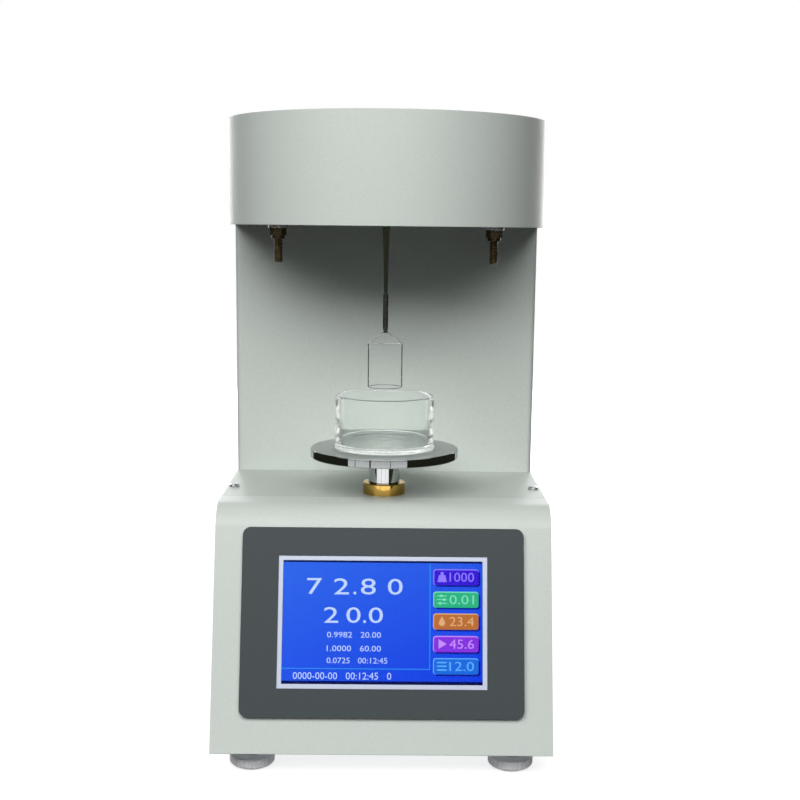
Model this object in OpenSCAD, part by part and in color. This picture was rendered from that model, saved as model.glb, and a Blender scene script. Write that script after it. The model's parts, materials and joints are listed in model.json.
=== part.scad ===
// Surface tensiometer: ring-method instrument with a motorised sample platform.
// X runs across, -Y is the front with the display, Z is up.
// The origin is the middle of the footprint, on the surface that the feet stand on.

/* [Housing] */
// Width of base, column and head
base_w = 185; // [175:1:215]
// Depth from the lower front edge to the rearmost point
total_depth = 250; // [244:1:290]
// Height of the base, from its underside to the deck
base_h = 127.5; // [124:0.5:150]
// Height of the column between the deck and the head
column_h = 152; // [140:1:190]
// Depth of the column
column_depth = 95; // [85:1:105]
// Height of the head
head_h = 60; // [56:1:90]
// How far the centre of the head's round front lies before the column
head_offset = 22; // [10:1:40]
// Depth of the deck in front of the column
deck_depth = 83; // [78:1:90]
// Flat strip of the front shell before the deck
lip_depth = 14; // [11:0.5:18]
// Outer radius of the bend between deck and front
bend_r = 16; // [8:0.5:18]
// Thickness of the bent sheet
sheet_t = 1.5; // [1:0.1:2]
// Thickness of the deck plate
deck_t = 2; // [1.5:0.1:3]
// Thickness of the floor plate
floor_t = 2; // [1.5:0.1:3]
// Thickness of the plate under the head
head_plate_t = 3; // [2:0.1:5]
// Width of the flanges that are turned inwards
flange_w = 10; // [8:0.5:14]
// Height of the upright flange at the rear of the head plate
upstand_h = 15; // [12:0.5:25]
// Bend radius of the column's front corners
column_corner_r = 3; // [2:0.5:8]
// Length and width of the cable opening in the deck and the head plate
cable_slot = [60, 26]; // [10:1:70]
// How far the rearmost piece stands behind the rear cover
rear_proud = 3; // [2.6:0.1:6]
// Number of vent slots on each side of the floor plate
floor_vent_count = 5; // [2:1:6]
// Length of the vent slots in the floor plate
floor_vent_l = 24; // [12:1:26]

/* [Feet] */
// Height of the base above the table
foot_h = 16; // [15:0.5:22]
// Distance of the feet from the mid-plane
foot_x = 72; // [70:0.5:74.5]
// Distance of the front feet from the lower front edge
foot_front_inset = 26; // [22:0.5:34]
// Distance of the rear feet from the rear cover
foot_rear_inset = 23; // [18:0.5:34]
// Radius of the thumbwheel
wheel_r = 12.5; // [11.5:0.1:15]
// Height of the thumbwheel's top above the table
wheel_top = 7; // [6:0.1:9]
// Height of the thumbwheel's lower edge above the table
wheel_gap = 1; // [0.5:0.1:1.5]
// Number of grooves round the thumbwheel
wheel_grooves = 30; // [16:1:40]
// Radius of each groove
groove_r = 0.6; // [0.3:0.05:0.9]
// Radius of the rubber pad
pad_r = 9; // [7:0.1:10]
// Thickness of the rubber pad
pad_t = 3; // [2:0.1:4]
// Radius of the levelling stud
stud_r = 4; // [3:0.1:5]
// Height of the threaded boss above the floor plate
boss_h = 14; // [11:0.5:16]
// Wall round the thread of the boss
boss_wall = 4; // [3:0.1:4.5]
// Wall of the boss where it passes the floor plate
boss_shank_wall = 2; // [1.5:0.1:2.5]

/* [Display] */
// Width of the display bezel
bezel_w = 154; // [140:1:160]
// Height of the display bezel along the slope
bezel_h = 103; // [98:1:103]
// Distance of the bezel from the lower front edge
bezel_lift = 19.5; // [15:0.5:19.5]
// Thickness of the bezel
bezel_t = 2; // [1.5:0.1:3]
// Corner radius of the bezel
bezel_corner_r = 4.5; // [2:0.5:8]
// Width of the bezel's window
window_w = 114; // [112:0.5:118]
// Height of the bezel's window
window_h = 72; // [70:0.5:74]
// Width of the pale frame round the picture
frame_line = 2.5; // [1.5:0.1:4]
// Depth of the pale frame's front below the bezel's front
frame_sink = 0.5; // [0.2:0.1:0.8]
// Thickness of the sealing gasket
seal_t = 0.8; // [0.5:0.1:1]
// Width of the gasket
seal_w = 9; // [5:0.5:10]
// Thickness of the touch glass
glass_t = 1.1; // [0.7:0.1:1.5]
// Width and height of the liquid crystal panel
panel_size = [120, 78]; // [119:0.5:122]
// Thickness of the liquid crystal panel
panel_t = 5; // [3:0.1:6]
// Wall of the display housing beside the panel
housing_wall = 2.7; // [2:0.1:3]
// Height of the housing's top and bottom walls
housing_rim = 7; // [4:0.5:7]
// Depth of the display housing behind the front sheet
housing_depth = 26; // [20:0.5:27]
// Thickness of the housing's back
housing_back_t = 2; // [1.5:0.1:4]
// Length of the pillars that carry the display's board
pillar_h = 9; // [6:0.5:10]
// Width, depth and height of a mounting clamp
clamp_size = [9, 10, 8]; // [6:0.5:12]
// Distance between the upper and the lower clamps
clamp_pitch = 52; // [30:1:60]

/* [Lift] */
// Distance of the lift's axis before the column
axis_reach = 69; // [66:0.5:74]
// Radius of the sample platform
platform_r = 42.5; // [38:0.5:50]
// Thickness of the sample platform
platform_t = 5; // [4:0.1:8]
// Height of the platform's top above the deck at rest
platform_rise = 26.5; // [25.5:0.1:28]
// Radius of the lift post
post_r = 9; // [8:0.1:9.5]
// Radius of the guide bush's collar
collar_r = 12.25; // [11.8:0.05:14]
// Height of the guide bush's collar
collar_h = 6.5; // [5:0.1:7]
// Radius of the guide bush below the deck
bush_r = 11; // [10.6:0.1:11.5]
// Length of the guide bush below the deck
bush_drop = 17.5; // [16:0.5:18]
// Radius of the ring nut under the deck
ring_nut_r = 16; // [13:0.5:18]
// Height of the ring nut
ring_nut_h = 5; // [4:0.1:6]
// Depth of the lift post's foot below the deck at rest
post_drop = 46.5; // [46:0.5:47]
// Radius of the lead screw
screw_r = 4; // [3.5:0.1:4.2]
// Radius of the lead screw's ground seat in the coupling
seat_r = 3.2; // [2.5:0.1:3.3]
// Height of the lead screw's end below the deck
screw_drop = 13.5; // [11:0.5:16]
// Height of the lead nut's body
nut_h = 8; // [6:0.5:8]
// Radius of the lead nut's body
nut_r = 6; // [5.5:0.1:7]
// Radius of the lead nut's flange
nut_flange_r = 8.8; // [8:0.1:8.8]
// Thickness of the lead nut's flange
nut_flange_t = 3; // [2:0.1:4]
// Outer radius of the guide arm's ring
arm_ring_r = 12; // [10:0.1:13]
// Distance of the guide rod from the lift's axis
rod_reach = 30; // [28:0.5:34]
// Radius of the guide rod
rod_r = 3; // [2.5:0.1:3.5]
// Wall of the bush that slides on the guide rod
arm_bush_wall = 2; // [1.5:0.1:2.5]
// Wall of the guide arm round its bush
arm_eye_wall = 3; // [2:0.1:3.5]
// Width of the guide arm
arm_w = 10; // [7:0.5:12]
// How far the arm's flag reaches the other way
flag_reach = 21; // [18:0.5:23]
// Side of the square motor
motor_w = 42.3; // [36:0.1:43]
// Height of the motor
motor_h = 30; // [24:0.5:30.4]
// Radius of the motor's pilot ring
pilot_r = 11; // [9:0.1:11]
// Height of the motor's pilot ring
pilot_h = 2; // [1:0.1:2.5]
// Radius of the motor shaft
shaft_r = 2.5; // [2:0.1:3]
// Distance between the motor's screws
motor_pitch = 31; // [26:0.5:31]
// Height of the motor bracket's plate above the floor plate
bracket_rise = 30.5; // [30.5:0.1:31]
// Thickness of the motor bracket
bracket_t = 3; // [2:0.1:3.5]
// Half the length of the motor bracket's plate
bracket_x = 40; // [38.5:0.5:44]
// Half the width of the motor bracket
bracket_y = 24; // [22:0.5:26]
// Clear width between the bracket's legs
leg_span = 48; // [45:0.5:50]
// Radius of the shaft coupling
coupling_r = 8; // [7:0.1:9]
// Length of the shaft coupling
coupling_h = 15; // [12:0.5:15]
// Size of a limit switch: across, along and up
switch_size = [6.4, 20, 10]; // [5:0.1:22]

/* [Dish] */
// Outer radius of the glass dish's wall
dish_r = 28.3; // [26:0.1:32]
// Radius of the dish's foot
dish_foot_r = 29.8; // [28.5:0.1:33]
// Height of the dish
dish_h = 30.5; // [24:0.5:31.5]
// Wall of the dish
dish_wall = 2.5; // [1.5:0.1:4]
// Thickness of the dish's floor
dish_floor = 3; // [2:0.1:4]

/* [Balance] */
// Mean radius of the measuring ring
ring_r = 9.55; // [8:0.05:11]
// Radius of the ring's wire
wire_r = 0.185; // [0.15:0.005:0.25]
// Radius of the stirrup's wire
stirrup_r = 0.3; // [0.2:0.01:0.4]
// Height of the ring above the deck
ring_rise = 61.5; // [60:0.5:63]
// Height of the stirrup's cross bar above the deck
bar_rise = 86.4; // [82:0.1:88]
// Height of the chuck's lower end above the deck
chuck_rise = 94.2; // [92:0.1:96]
// Length of the chuck's jaw
jaw_h = 12.4; // [11:0.1:14]
// Length of the chuck's neck piece
neck_h = 7.6; // [5:0.1:9]
// Radius of the chuck
chuck_r = 1.5; // [1.3:0.05:2.5]
// Radius of the stirrup's stem
stem_r = 0.35; // [0.3:0.01:0.4]
// Radius of the hanger rod at its lower end
hanger_low_r = 1.1; // [0.8:0.05:1.3]
// Radius of the hanger rod under the head
hanger_top_r = 2; // [1.5:0.05:2.5]
// Radius of the hole for the hanger rod
hanger_hole_r = 6; // [5:0.1:8]
// Distance of the balance studs from the housing's sides
balance_inset = 32; // [30.5:0.5:34.5]
// Radius of the balance studs
balance_stud_r = 2.5; // [2:0.1:3]
// How far the balance studs reach below the head
balance_stud_drop = 20.5; // [14:0.5:24]
// Radius of the washers on the balance studs
washer_r = 5.5; // [5:0.1:7]
// Thickness of the washers
washer_t = 1.5; // [1:0.1:2]
// Width across the flats of the stud nuts
nut_flats = 8; // [7:0.1:9]
// Height of the stud nuts
stud_nut_h = 6; // [4:0.1:7]
// Height of the balance bridge's legs
bridge_rise = 13.5; // [10:0.5:16]
// Thickness of the balance bridge
bridge_t = 5; // [4:0.1:8]
// How far the balance bridge reaches past its studs
bridge_reach = 6.5; // [5.5:0.5:7]
// Width of the balance bridge
bridge_w = 24; // [20:0.5:25]
// Width and height of the load cell
cell_w = 12.7; // [10:0.1:15]
// How far the load cell reaches to its fixed end
cell_back = 48; // [44:0.5:50]
// How far the load cell reaches past the hanger rod
cell_nose = 10; // [8:0.5:14]
// Height of the spacer under the load cell
spacer_h = 3; // [2:0.1:5]
// Length of the spacer under the load cell
spacer_l = 20; // [16:0.5:20]

/* [Rear] */
// Distance of the mains inlet and the switch from the mid-plane
inlet_x = 50; // [40:1:55]
// Height of the mains inlet above the floor plate
inlet_rise = 46; // [42:0.5:48]
// Width and height of the inlet's flange
inlet_flange = [50, 34]; // [34:0.5:54]
// Width and height of the inlet's body
inlet_core = [27.5, 31]; // [27.5:0.5:31]
// Thickness of the flanges at the rear
rear_flange_t = 2; // [1.5:0.1:2.2]
// Depth of the inlet's body behind its flange
inlet_depth = 22; // [20:0.5:24]
// Width and height of the inlet's socket
socket_size = [24.4, 16.6]; // [16:0.1:24.5]
// Depth of the inlet's socket
socket_depth = 17; // [14:0.5:18]
// Width and height of the fuse drawer
drawer_size = [22, 7]; // [6:0.1:22]
// Length of the fuse drawer
drawer_l = 18; // [12:0.5:19]
// Height of the switch above the mains inlet
switch_rise = 36; // [32:0.5:40]
// Width and height of the rocker
rocker_size = [13, 17]; // [12:0.5:18]
// Tilt of the rocker when it is off
rocker_tilt = 8; // [4:0.5:10]
// Distance of the data port from the mid-plane
port_x = 25; // [10:1:40]
// Width and height of the data port's flange
port_flange = [31, 12.5]; // [12:0.5:32]
// Number of vent slots in each row
vent_count = 9; // [3:1:12]
// Length of a vent slot
vent_l = 50; // [30:1:60]
// Width of a vent slot
vent_w = 3; // [2:0.1:3.5]
// Distance between vent slots
vent_pitch = 8; // [6:0.5:9]

/* [Electronics] */
// Width and depth of the control board
control_size = [100, 50]; // [40:1:104]
// Width, depth and height of the power supply
supply_size = [52, 80, 30]; // [26:1:90]
// Width and depth of the balance's board
signal_size = [56, 40]; // [36:1:60]
// Height of the pillars under the control board
control_pillar_h = 8; // [5:0.5:12]
// Height of the pillars under the balance's board
signal_pillar_h = 6; // [4:0.5:10]
// Radius of the board pillars
pillar_r = 3; // [2:0.1:3.5]
// Thickness of the boards
board_t = 1.6; // [1:0.1:2.4]
// Room between the electronics and the pieces round them
board_room = 4; // [2:0.5:8]

/* [Screws] */
// Radius of the cover screws
m3_r = 1.5; // [1.2:0.1:1.8]
// Radius of the cover screws' heads
m3_head_r = 3; // [2.6:0.1:3.4]
// Height of the cover screws' heads
m3_head_h = 1.8; // [1.4:0.1:2]
// Length of the cover screws
m3_l = 6; // [5:0.5:7]
// Distance of the deck screws before the column
deck_screw_reach = 55; // [40:0.5:68]
// Distance of the screws from the housing's sides
screw_inset = 4.3; // [4.1:0.1:5.5]
// Gap between the column screws' heads and the housing's wall
screw_wall_gap = 0.8; // [0.4:0.1:1.5]

/* [Hidden] */

$fn = 64;
cut = 1;            // how far a cutting tool passes a face
fit_gap = 0.05;     // radial clearance of a shaft in its bore
slip_gap = 0.3;     // clearance of a piece that drops into a recess
hole_gap = 0.15;    // radial clearance of a screw in a plain hole
nut_room = 0.6;     // room round the ring nut of the lift's bush
chamfer = 0.4;      // broken edge of a turned piece

paint = [0.74, 0.77, 0.73];
steel = [0.72, 0.73, 0.74];
dark_plastic = [0.12, 0.12, 0.13];
brass = [0.80, 0.62, 0.25];
board_green = [0.10, 0.36, 0.20];

// Places along Y
front_y = -total_depth / 2;
cover_y = total_depth / 2 - rear_proud;
inside_y = cover_y - sheet_t;
column_y = cover_y - column_depth;
deck_y = column_y - deck_depth;
bend_y = deck_y - lip_depth;
axis_y = column_y - axis_reach;
head_y = column_y - head_offset;

// Places along Z
base_z = foot_h;
deck_z = base_z + base_h;
head_z = deck_z + column_h;
top_z = head_z + head_h;
shelf_z = deck_z - deck_t;
floor_z = base_z + sheet_t + floor_t;
bend_z = deck_z - bend_r;
head_plate_z = head_z + head_plate_t;

// The front slopes from the lower edge up to where it is tangent to the bend
bend_run = bend_y - front_y;
bend_rise = bend_z - base_z;
slope = atan2(bend_run, bend_rise) - asin(bend_r / norm([bend_run, bend_rise]));

half_w = base_w / 2;
inner_w = base_w - 2 * sheet_t;
screw_x = half_w - screw_inset;
balance_x = half_w - balance_inset;
bridge_x = balance_x + bridge_reach;
front_inside = sheet_t / cos(slope);

// Display stack, from the front sheet outwards and inwards
bezel_z = bezel_lift + bezel_h / 2;
housing_w = panel_size[0] + 2 * slip_gap + 2 * housing_wall;
housing_h = panel_size[1] + 2 * slip_gap + 2 * housing_rim;
bezel_back = -seal_t;
panel_front = bezel_back + glass_t;
board_front = housing_depth - housing_back_t - pillar_h;

// Lift
platform_z = deck_z + platform_rise;
post_foot_z = deck_z - post_drop;
nut_foot_z = post_foot_z - nut_flange_t - nut_h;
bracket_z = floor_z + bracket_rise;
bracket_top_z = bracket_z + bracket_t;
coupling_z = bracket_top_z + 1.8;
shaft_top_z = coupling_z + coupling_h / 2 - 0.5;
screw_top_z = deck_z - screw_drop;
spigot_r = 4;
spigot_h = 3;
rail_x = -(flag_reach + 12.5);
arm_eye_r = rod_r + 2 * fit_gap + arm_bush_wall + arm_eye_wall;

// Balance
ring_z = deck_z + ring_rise;
bar_z = deck_z + bar_rise;
chuck_z = deck_z + chuck_rise;
hanger_foot_z = chuck_z + jaw_h + neck_h;
bridge_z = head_plate_z + bridge_rise;
bridge_top_z = bridge_z + bridge_t;
cell_z = bridge_top_z + spacer_h;

// Feet: name, side and place
front_foot_y = front_y + foot_front_inset;
rear_foot_y = cover_y - foot_rear_inset;
FEET = [[-foot_x, front_foot_y], [foot_x, front_foot_y], [-foot_x, rear_foot_y], [foot_x, rear_foot_y]];

boss_r = stud_r + fit_gap + boss_wall;

// Electronics: the floor's pieces end before the rear feet
floor_back_y = rear_foot_y - boss_r - board_room;
supply_x = inner_w / 2 - flange_w - 1;
control_z = floor_z + control_pillar_h;
control_x = supply_x - supply_size[0] - 10 - control_size[0] / 2;
control_y = floor_back_y - control_size[1] / 2;
signal_x = -12;
signal_y = head_y + 30;
signal_z = head_plate_z + signal_pillar_h;
pillar_inset = pillar_r + 2;

// Rear sockets
inlet_z = floor_z + inlet_rise;
switch_z = inlet_z + switch_rise;
socket_z = inlet_core[1] / 2 - 1.2 - socket_size[1] / 2;
drawer_z = -inlet_core[1] / 2 + 1.5 + drawer_size[1] / 2;
rocker_wall = 1.5;
rocker_clear = 1.3;
rocker_y = cover_y - 3;
switch_core = [rocker_size[0] + 2 * (slip_gap + rocker_wall), rocker_size[1] + 2 * (rocker_clear + rocker_wall)];
port_z = inlet_z + 4;

// Screws that hold the rear cover, the head and the deck
COVER_HEIGHTS = [base_z + 14, shelf_z - 18, deck_z + 28, head_z - 14];
column_screw_x = half_w - sheet_t - m3_head_r - screw_wall_gap;
column_screw_y = column_y + sheet_t + flange_w + 6.5;
HEAD_SCREW_X = [-60, 0, 60];
inlet_screw_x = inlet_flange[0] / 2 - 5;

// A rectangle with round corners, centred
module rounded(w, h, r) {
    square([w - 2 * r, h], center = true);
    square([w, h - 2 * r], center = true);
    for (sx = [-1, 1], sz = [-1, 1])
        translate([sx * (w / 2 - r), sz * (h / 2 - r)])
            circle(r);
}

// An upright slab: its outline in XZ, its thickness from y = 0 towards +Y
module slab(t) {
    rotate([90, 0, 0])
        translate([0, 0, -t])
            linear_extrude(t)
                children();
}

// A plane outline in YZ, drawn out across the width w
module across(w) {
    translate([-w / 2, 0, 0])
        rotate([90, 0, 90])
            linear_extrude(w)
                children();
}

// A box given by its lowest and highest corners
module box(low, high) {
    translate(low)
        cube(high - low);
}

module tube(outer, inner, h) {
    difference() {
        cylinder(r = outer, h = h);
        translate([0, 0, -cut])
            cylinder(r = inner, h = h + 2 * cut);
    }
}

// A pan-head screw with a cross recess, its head above z = 0
module pan_screw(r, head_r, head_h, l) {
    difference() {
        union() {
            translate([0, 0, -l])
                cylinder(r = r, h = l + head_h / 2);
            cylinder(r = head_r, h = head_h * 0.6);
            translate([0, 0, head_h * 0.6])
                cylinder(r1 = head_r, r2 = head_r * 0.62, h = head_h * 0.4);
        }
        for (a = [0, 90])
            rotate([0, 0, a])
                translate([-head_r * 0.55, -head_r * 0.11, head_h * 0.4])
                    cube([head_r * 1.1, head_r * 0.22, head_h]);
    }
}

module cover_screw() {
    pan_screw(m3_r, m3_head_r, m3_head_h, m3_l);
}

// The side view's outline: sloping front, bend, flat lip and the step for the deck
module side_outline() {
    polygon([
        [front_y, base_z],
        [bend_y - bend_r * cos(slope), bend_z + bend_r * sin(slope)],
        [bend_y, bend_z],
        [bend_y, deck_z],
        [deck_y, deck_z],
        [deck_y, shelf_z],
        [inside_y, shelf_z],
        [inside_y, base_z]
    ]);
    translate([bend_y, bend_z])
        circle(bend_r);
}

// The hollow of the base, one sheet inside the outline and open below, above and behind
module hollow_outline() {
    inner_r = bend_r - sheet_t;
    polygon([
        [front_y + front_inside - cut * tan(slope), base_z - cut],
        [bend_y - inner_r * cos(slope), bend_z + inner_r * sin(slope)],
        [bend_y, bend_z],
        [bend_y, deck_z - sheet_t],
        [deck_y - sheet_t, deck_z - sheet_t],
        [deck_y - sheet_t, shelf_z - sheet_t],
        [deck_y, shelf_z - sheet_t],
        [deck_y, deck_z + cut],
        [inside_y + cut, deck_z + cut],
        [inside_y + cut, base_z - cut]
    ]);
    translate([bend_y, bend_z])
        circle(inner_r);
}

// Places children on the sloping front: x across, z up the slope, y inwards
module on_front() {
    translate([0, front_y, base_z])
        rotate([-slope, 0, 0])
            children();
}

module screw_holes_down(points, z) {
    for (p = points)
        translate([p[0], p[1], z])
            cylinder(r = m3_r + hole_gap, h = 12, center = true);
}

function column_screw_points() = [for (sx = [-1, 1]) [sx * column_screw_x, column_screw_y]];
function deck_screw_points() =
    concat([for (sx = [-1, 1]) [sx * screw_x, column_y - deck_screw_reach]], column_screw_points());

module cover_screw_holes() {
    for (sx = [-1, 1], z = COVER_HEIGHTS)
        translate([sx * screw_x, cover_y, z])
            rotate([90, 0, 0])
                cylinder(r = m3_r + hole_gap, h = 12, center = true);
}

module base_shell() {
    flange_x = inner_w / 2 - flange_w;
    color(paint)
    difference() {
        union() {
            difference() {
                across(base_w)
                    side_outline();
                across(inner_w)
                    hollow_outline();
                on_front()
                    translate([0, -cut, bezel_z])
                        slab(sheet_t + 2 * cut)
                            square([housing_w + 2 * slip_gap, housing_h + 2 * slip_gap], center = true);
            }
            // Flanges turned in along the underside
            intersection() {
                across(base_w)
                    side_outline();
                difference() {
                    box([-half_w, front_y, base_z], [half_w, inside_y, base_z + sheet_t]);
                    box([-flange_x, front_y + flange_w, base_z - cut], [flange_x, inside_y + cut, deck_z]);
                }
            }
            // Shelf that carries the deck along its front and sides
            difference() {
                box([-half_w, deck_y - sheet_t, shelf_z - sheet_t], [half_w, inside_y, shelf_z]);
                box([-flange_x, deck_y + flange_w, base_z], [flange_x, inside_y + cut, deck_z]);
            }
            // Flanges turned in along the rear edges
            for (sx = [-1, 1])
                translate([sx * (half_w - flange_w / 2 - sheet_t / 2), inside_y - sheet_t / 2, (base_z + shelf_z) / 2])
                    cube([flange_w + sheet_t, sheet_t, shelf_z - base_z], center = true);
        }
        // Room for the ring nut of the lift's bush in the shelf
        translate([0, axis_y, shelf_z - 2 * sheet_t])
            cylinder(r = ring_nut_r + nut_room, h = 2 * sheet_t);
        screw_holes_down(deck_screw_points(), deck_z);
        cover_screw_holes();
    }
}

module top_plate() {
    color(paint)
    difference() {
        box([-half_w, deck_y, shelf_z], [half_w, inside_y, deck_z]);
        translate([0, axis_y, shelf_z - cut])
            cylinder(r = bush_r + fit_gap, h = deck_t + 2 * cut);
        translate([0, column_y + column_depth / 2, deck_z])
            cube([cable_slot[0], cable_slot[1], 4 * deck_t], center = true);
        screw_holes_down(deck_screw_points(), deck_z);
    }
}

// Places children at the four corners of a board
module at_corners(size) {
    for (sx = [-1, 1], sy = [-1, 1])
        translate([sx * (size[0] / 2 - pillar_inset), sy * (size[1] / 2 - pillar_inset), 0])
            children();
}

// A chip or a socket on a board: where it sits from the board's middle, and its size
module chip(place, size) {
    translate([place[0] - size[0] / 2, place[1] - size[1] / 2, board_t])
        cube(size);
}

// A board whose lower face is at z = 0
module board(size) {
    translate([-size[0] / 2, -size[1] / 2, 0])
        cube([size[0], size[1], board_t]);
}

module bottom_plate() {
    plate_y = front_y + front_inside + (sheet_t + floor_t) * tan(slope) + slip_gap;
    color(steel)
    difference() {
        union() {
            box([-inner_w / 2 + slip_gap, plate_y, base_z + sheet_t],
                [inner_w / 2 - slip_gap, inside_y - sheet_t - slip_gap, floor_z]);
            translate([control_x, control_y, floor_z])
                at_corners(control_size)
                    cylinder(r = pillar_r, h = control_pillar_h);
        }
        for (p = FEET)
            translate([p[0], p[1], base_z])
                cylinder(r = stud_r + boss_shank_wall + 2 * fit_gap, h = 20);
        for (sx = [-1, 1], i = [0:floor_vent_count - 1])
            translate([
                sx * (bracket_x + 8),
                axis_y + (i - (floor_vent_count - 1) / 2) * vent_pitch,
                floor_z
            ])
                cube([floor_vent_l, vent_w, 4 * floor_t], center = true);
    }
}

module foot_bosses() {
    shank_r = stud_r + fit_gap + boss_shank_wall;
    color(steel)
    for (p = FEET)
        translate([p[0], p[1], 0])
            difference() {
                union() {
                    translate([0, 0, base_z])
                        cylinder(r = shank_r, h = floor_z - base_z);
                    translate([0, 0, floor_z])
                        cylinder(r = boss_r, h = boss_h);
                }
                translate([0, 0, base_z - cut])
                    cylinder(r = stud_r + fit_gap, h = floor_z - base_z + boss_h + 2 * cut);
            }
}

// Plan of the column's sheet: front and two sides with round corners
module column_plan(inset) {
    r = column_corner_r - min(inset, column_corner_r - 0.5);
    front = column_y + inset;
    side = half_w - inset;
    for (sx = [-1, 1])
        translate([sx * (side - r), front + r])
            circle(r);
    translate([-side + r, front])
        square([2 * (side - r), r + cut]);
    translate([-side, front + r])
        square([2 * side, inside_y - front - r]);
}

module column_shell() {
    color(paint)
    difference() {
        translate([0, 0, deck_z])
            linear_extrude(column_h)
                column_plan(0);
        // Hollow between the flanges at both ends and along the rear edges
        translate([0, 0, deck_z + sheet_t])
            linear_extrude(column_h - 2 * sheet_t)
                difference() {
                    column_plan(sheet_t);
                    translate([-half_w, inside_y - sheet_t])
                        square([base_w, sheet_t + cut]);
                }
        box([-inner_w / 2 + flange_w, column_y + sheet_t + flange_w, deck_z - cut],
            [inner_w / 2 - flange_w, inside_y + cut, head_z + cut]);
        screw_holes_down(column_screw_points(), head_z);
        screw_holes_down(column_screw_points(), deck_z);
        cover_screw_holes();
    }
}

module vent_row(x, z, count) {
    for (i = [0:count - 1])
        translate([x, cover_y, z + i * vent_pitch])
            cube([vent_l, 6 * sheet_t, vent_w], center = true);
}

module rear_cover() {
    color(paint)
    difference() {
        translate([0, inside_y, (base_z + head_z) / 2])
            slab(sheet_t)
                rounded(base_w, head_z - base_z, 1);
        for (x = [-half_w / 2 + 6, half_w / 2 - 6])
            vent_row(x, head_z - 44 - (vent_count - 1) * vent_pitch, vent_count);
        vent_row(half_w / 2 - 6, shelf_z - 36, 4);
        translate([-inlet_x, inside_y - cut, inlet_z])
            slab(sheet_t + 2 * cut)
                square([inlet_core[0] + slip_gap, inlet_core[1] + slip_gap], center = true);
        translate([-inlet_x, inside_y - cut, switch_z])
            slab(sheet_t + 2 * cut)
                square([switch_core[0] + slip_gap, switch_core[1] + slip_gap], center = true);
        translate([port_x, inside_y - cut, port_z])
            slab(sheet_t + 2 * cut)
                rounded(19, 10, 2);
        for (sx = [-1, 1])
            translate([-inlet_x + sx * inlet_screw_x, cover_y, inlet_z])
                rotate([90, 0, 0])
                    cylinder(r = m3_r + hole_gap, h = 12, center = true);
        cover_screw_holes();
    }
}

module cover_screws() {
    color(steel) {
        for (sx = [-1, 1], z = COVER_HEIGHTS)
            translate([sx * screw_x, cover_y, z])
                rotate([-90, 0, 0])
                    cover_screw();
        for (p = deck_screw_points())
            translate([p[0], p[1], p[1] > column_y ? deck_z + sheet_t : deck_z])
                cover_screw();
        for (x = HEAD_SCREW_X)
            translate([x, cover_y, head_z + upstand_h / 2 + head_plate_t / 2])
                rotate([-90, 0, 0])
                    cover_screw();
        for (sx = [-1, 1])
            translate([-inlet_x + sx * inlet_screw_x, cover_y + rear_flange_t, inlet_z])
                rotate([-90, 0, 0])
                    pan_screw(m3_r, m3_head_r - 0.4, 0.9, m3_l);
        for (p = column_screw_points())
            translate([p[0], p[1], head_plate_z])
                cover_screw();
    }
}

// Plan of the head: a half round front and straight sides back to the rear cover
module head_plan(inset) {
    r = half_w - inset;
    translate([0, head_y])
        circle(r, $fn = 128);
    translate([-r, head_y])
        square([2 * r, cover_y - inset - head_y]);
}

module head_plate() {
    color(paint)
    difference() {
        union() {
            translate([0, 0, head_z])
                linear_extrude(head_plate_t)
                    head_plan(sheet_t + slip_gap);
            box([-half_w + 14, inside_y - slip_gap - sheet_t, head_z],
                [half_w - 14, inside_y - slip_gap, head_z + upstand_h]);
        }
        translate([0, axis_y, head_z - cut])
            cylinder(r = hanger_hole_r, h = head_plate_t + 2 * cut);
        for (sx = [-1, 1])
            translate([sx * balance_x, axis_y, head_z - cut])
                cylinder(r = balance_stud_r + fit_gap, h = head_plate_t + 2 * cut);
        translate([0, column_y + column_depth / 2, head_z])
            cube([cable_slot[0], cable_slot[1], 4 * head_plate_t], center = true);
        screw_holes_down(column_screw_points(), head_z);
        for (x = HEAD_SCREW_X)
            translate([x, inside_y, head_z + upstand_h / 2 + head_plate_t / 2])
                rotate([90, 0, 0])
                    cylinder(r = m3_r + hole_gap, h = 12, center = true);
    }
}

module head_shell() {
    color(paint)
    difference() {
        translate([0, 0, head_z])
            linear_extrude(head_h)
                head_plan(0);
        translate([0, 0, head_z - cut])
            linear_extrude(head_h - sheet_t + cut)
                head_plan(sheet_t);
        for (x = HEAD_SCREW_X)
            translate([x, inside_y, head_z + upstand_h / 2 + head_plate_t / 2])
                rotate([90, 0, 0])
                    cylinder(r = m3_r + hole_gap, h = 12, center = true);
    }
}

module display_bezel() {
    color([0.31, 0.33, 0.34])
    on_front()
        translate([0, bezel_back - bezel_t, bezel_z])
            slab(bezel_t)
                difference() {
                    rounded(bezel_w, bezel_h, bezel_corner_r);
                    square([window_w, window_h], center = true);
                }
}

module window_frame() {
    color([0.82, 0.84, 0.90])
    on_front()
        translate([0, bezel_back - bezel_t + frame_sink, bezel_z])
            slab(bezel_t - frame_sink)
                difference() {
                    square([window_w - fit_gap, window_h - fit_gap], center = true);
                    square([window_w - 2 * frame_line, window_h - 2 * frame_line], center = true);
                }
}

module display_seal() {
    color(dark_plastic)
    on_front()
        translate([0, -seal_t, bezel_z])
            slab(seal_t)
                difference() {
                    rounded(housing_w + 2 * (slip_gap + seal_w), housing_h + 2 * (slip_gap + 1), 1);
                    square([housing_w + 2 * slip_gap, housing_h + 2 * slip_gap], center = true);
                }
}

module touch_glass() {
    color([0.10, 0.30, 0.90, 0.6])
    on_front()
        translate([0, bezel_back, bezel_z])
            slab(glass_t)
                square([panel_size[0] - 1, panel_size[1] - 1], center = true);
}

module lcd_panel() {
    color([0.12, 0.32, 0.90])
    on_front()
        translate([0, panel_front, bezel_z])
            slab(panel_t)
                square(panel_size, center = true);
}

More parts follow.
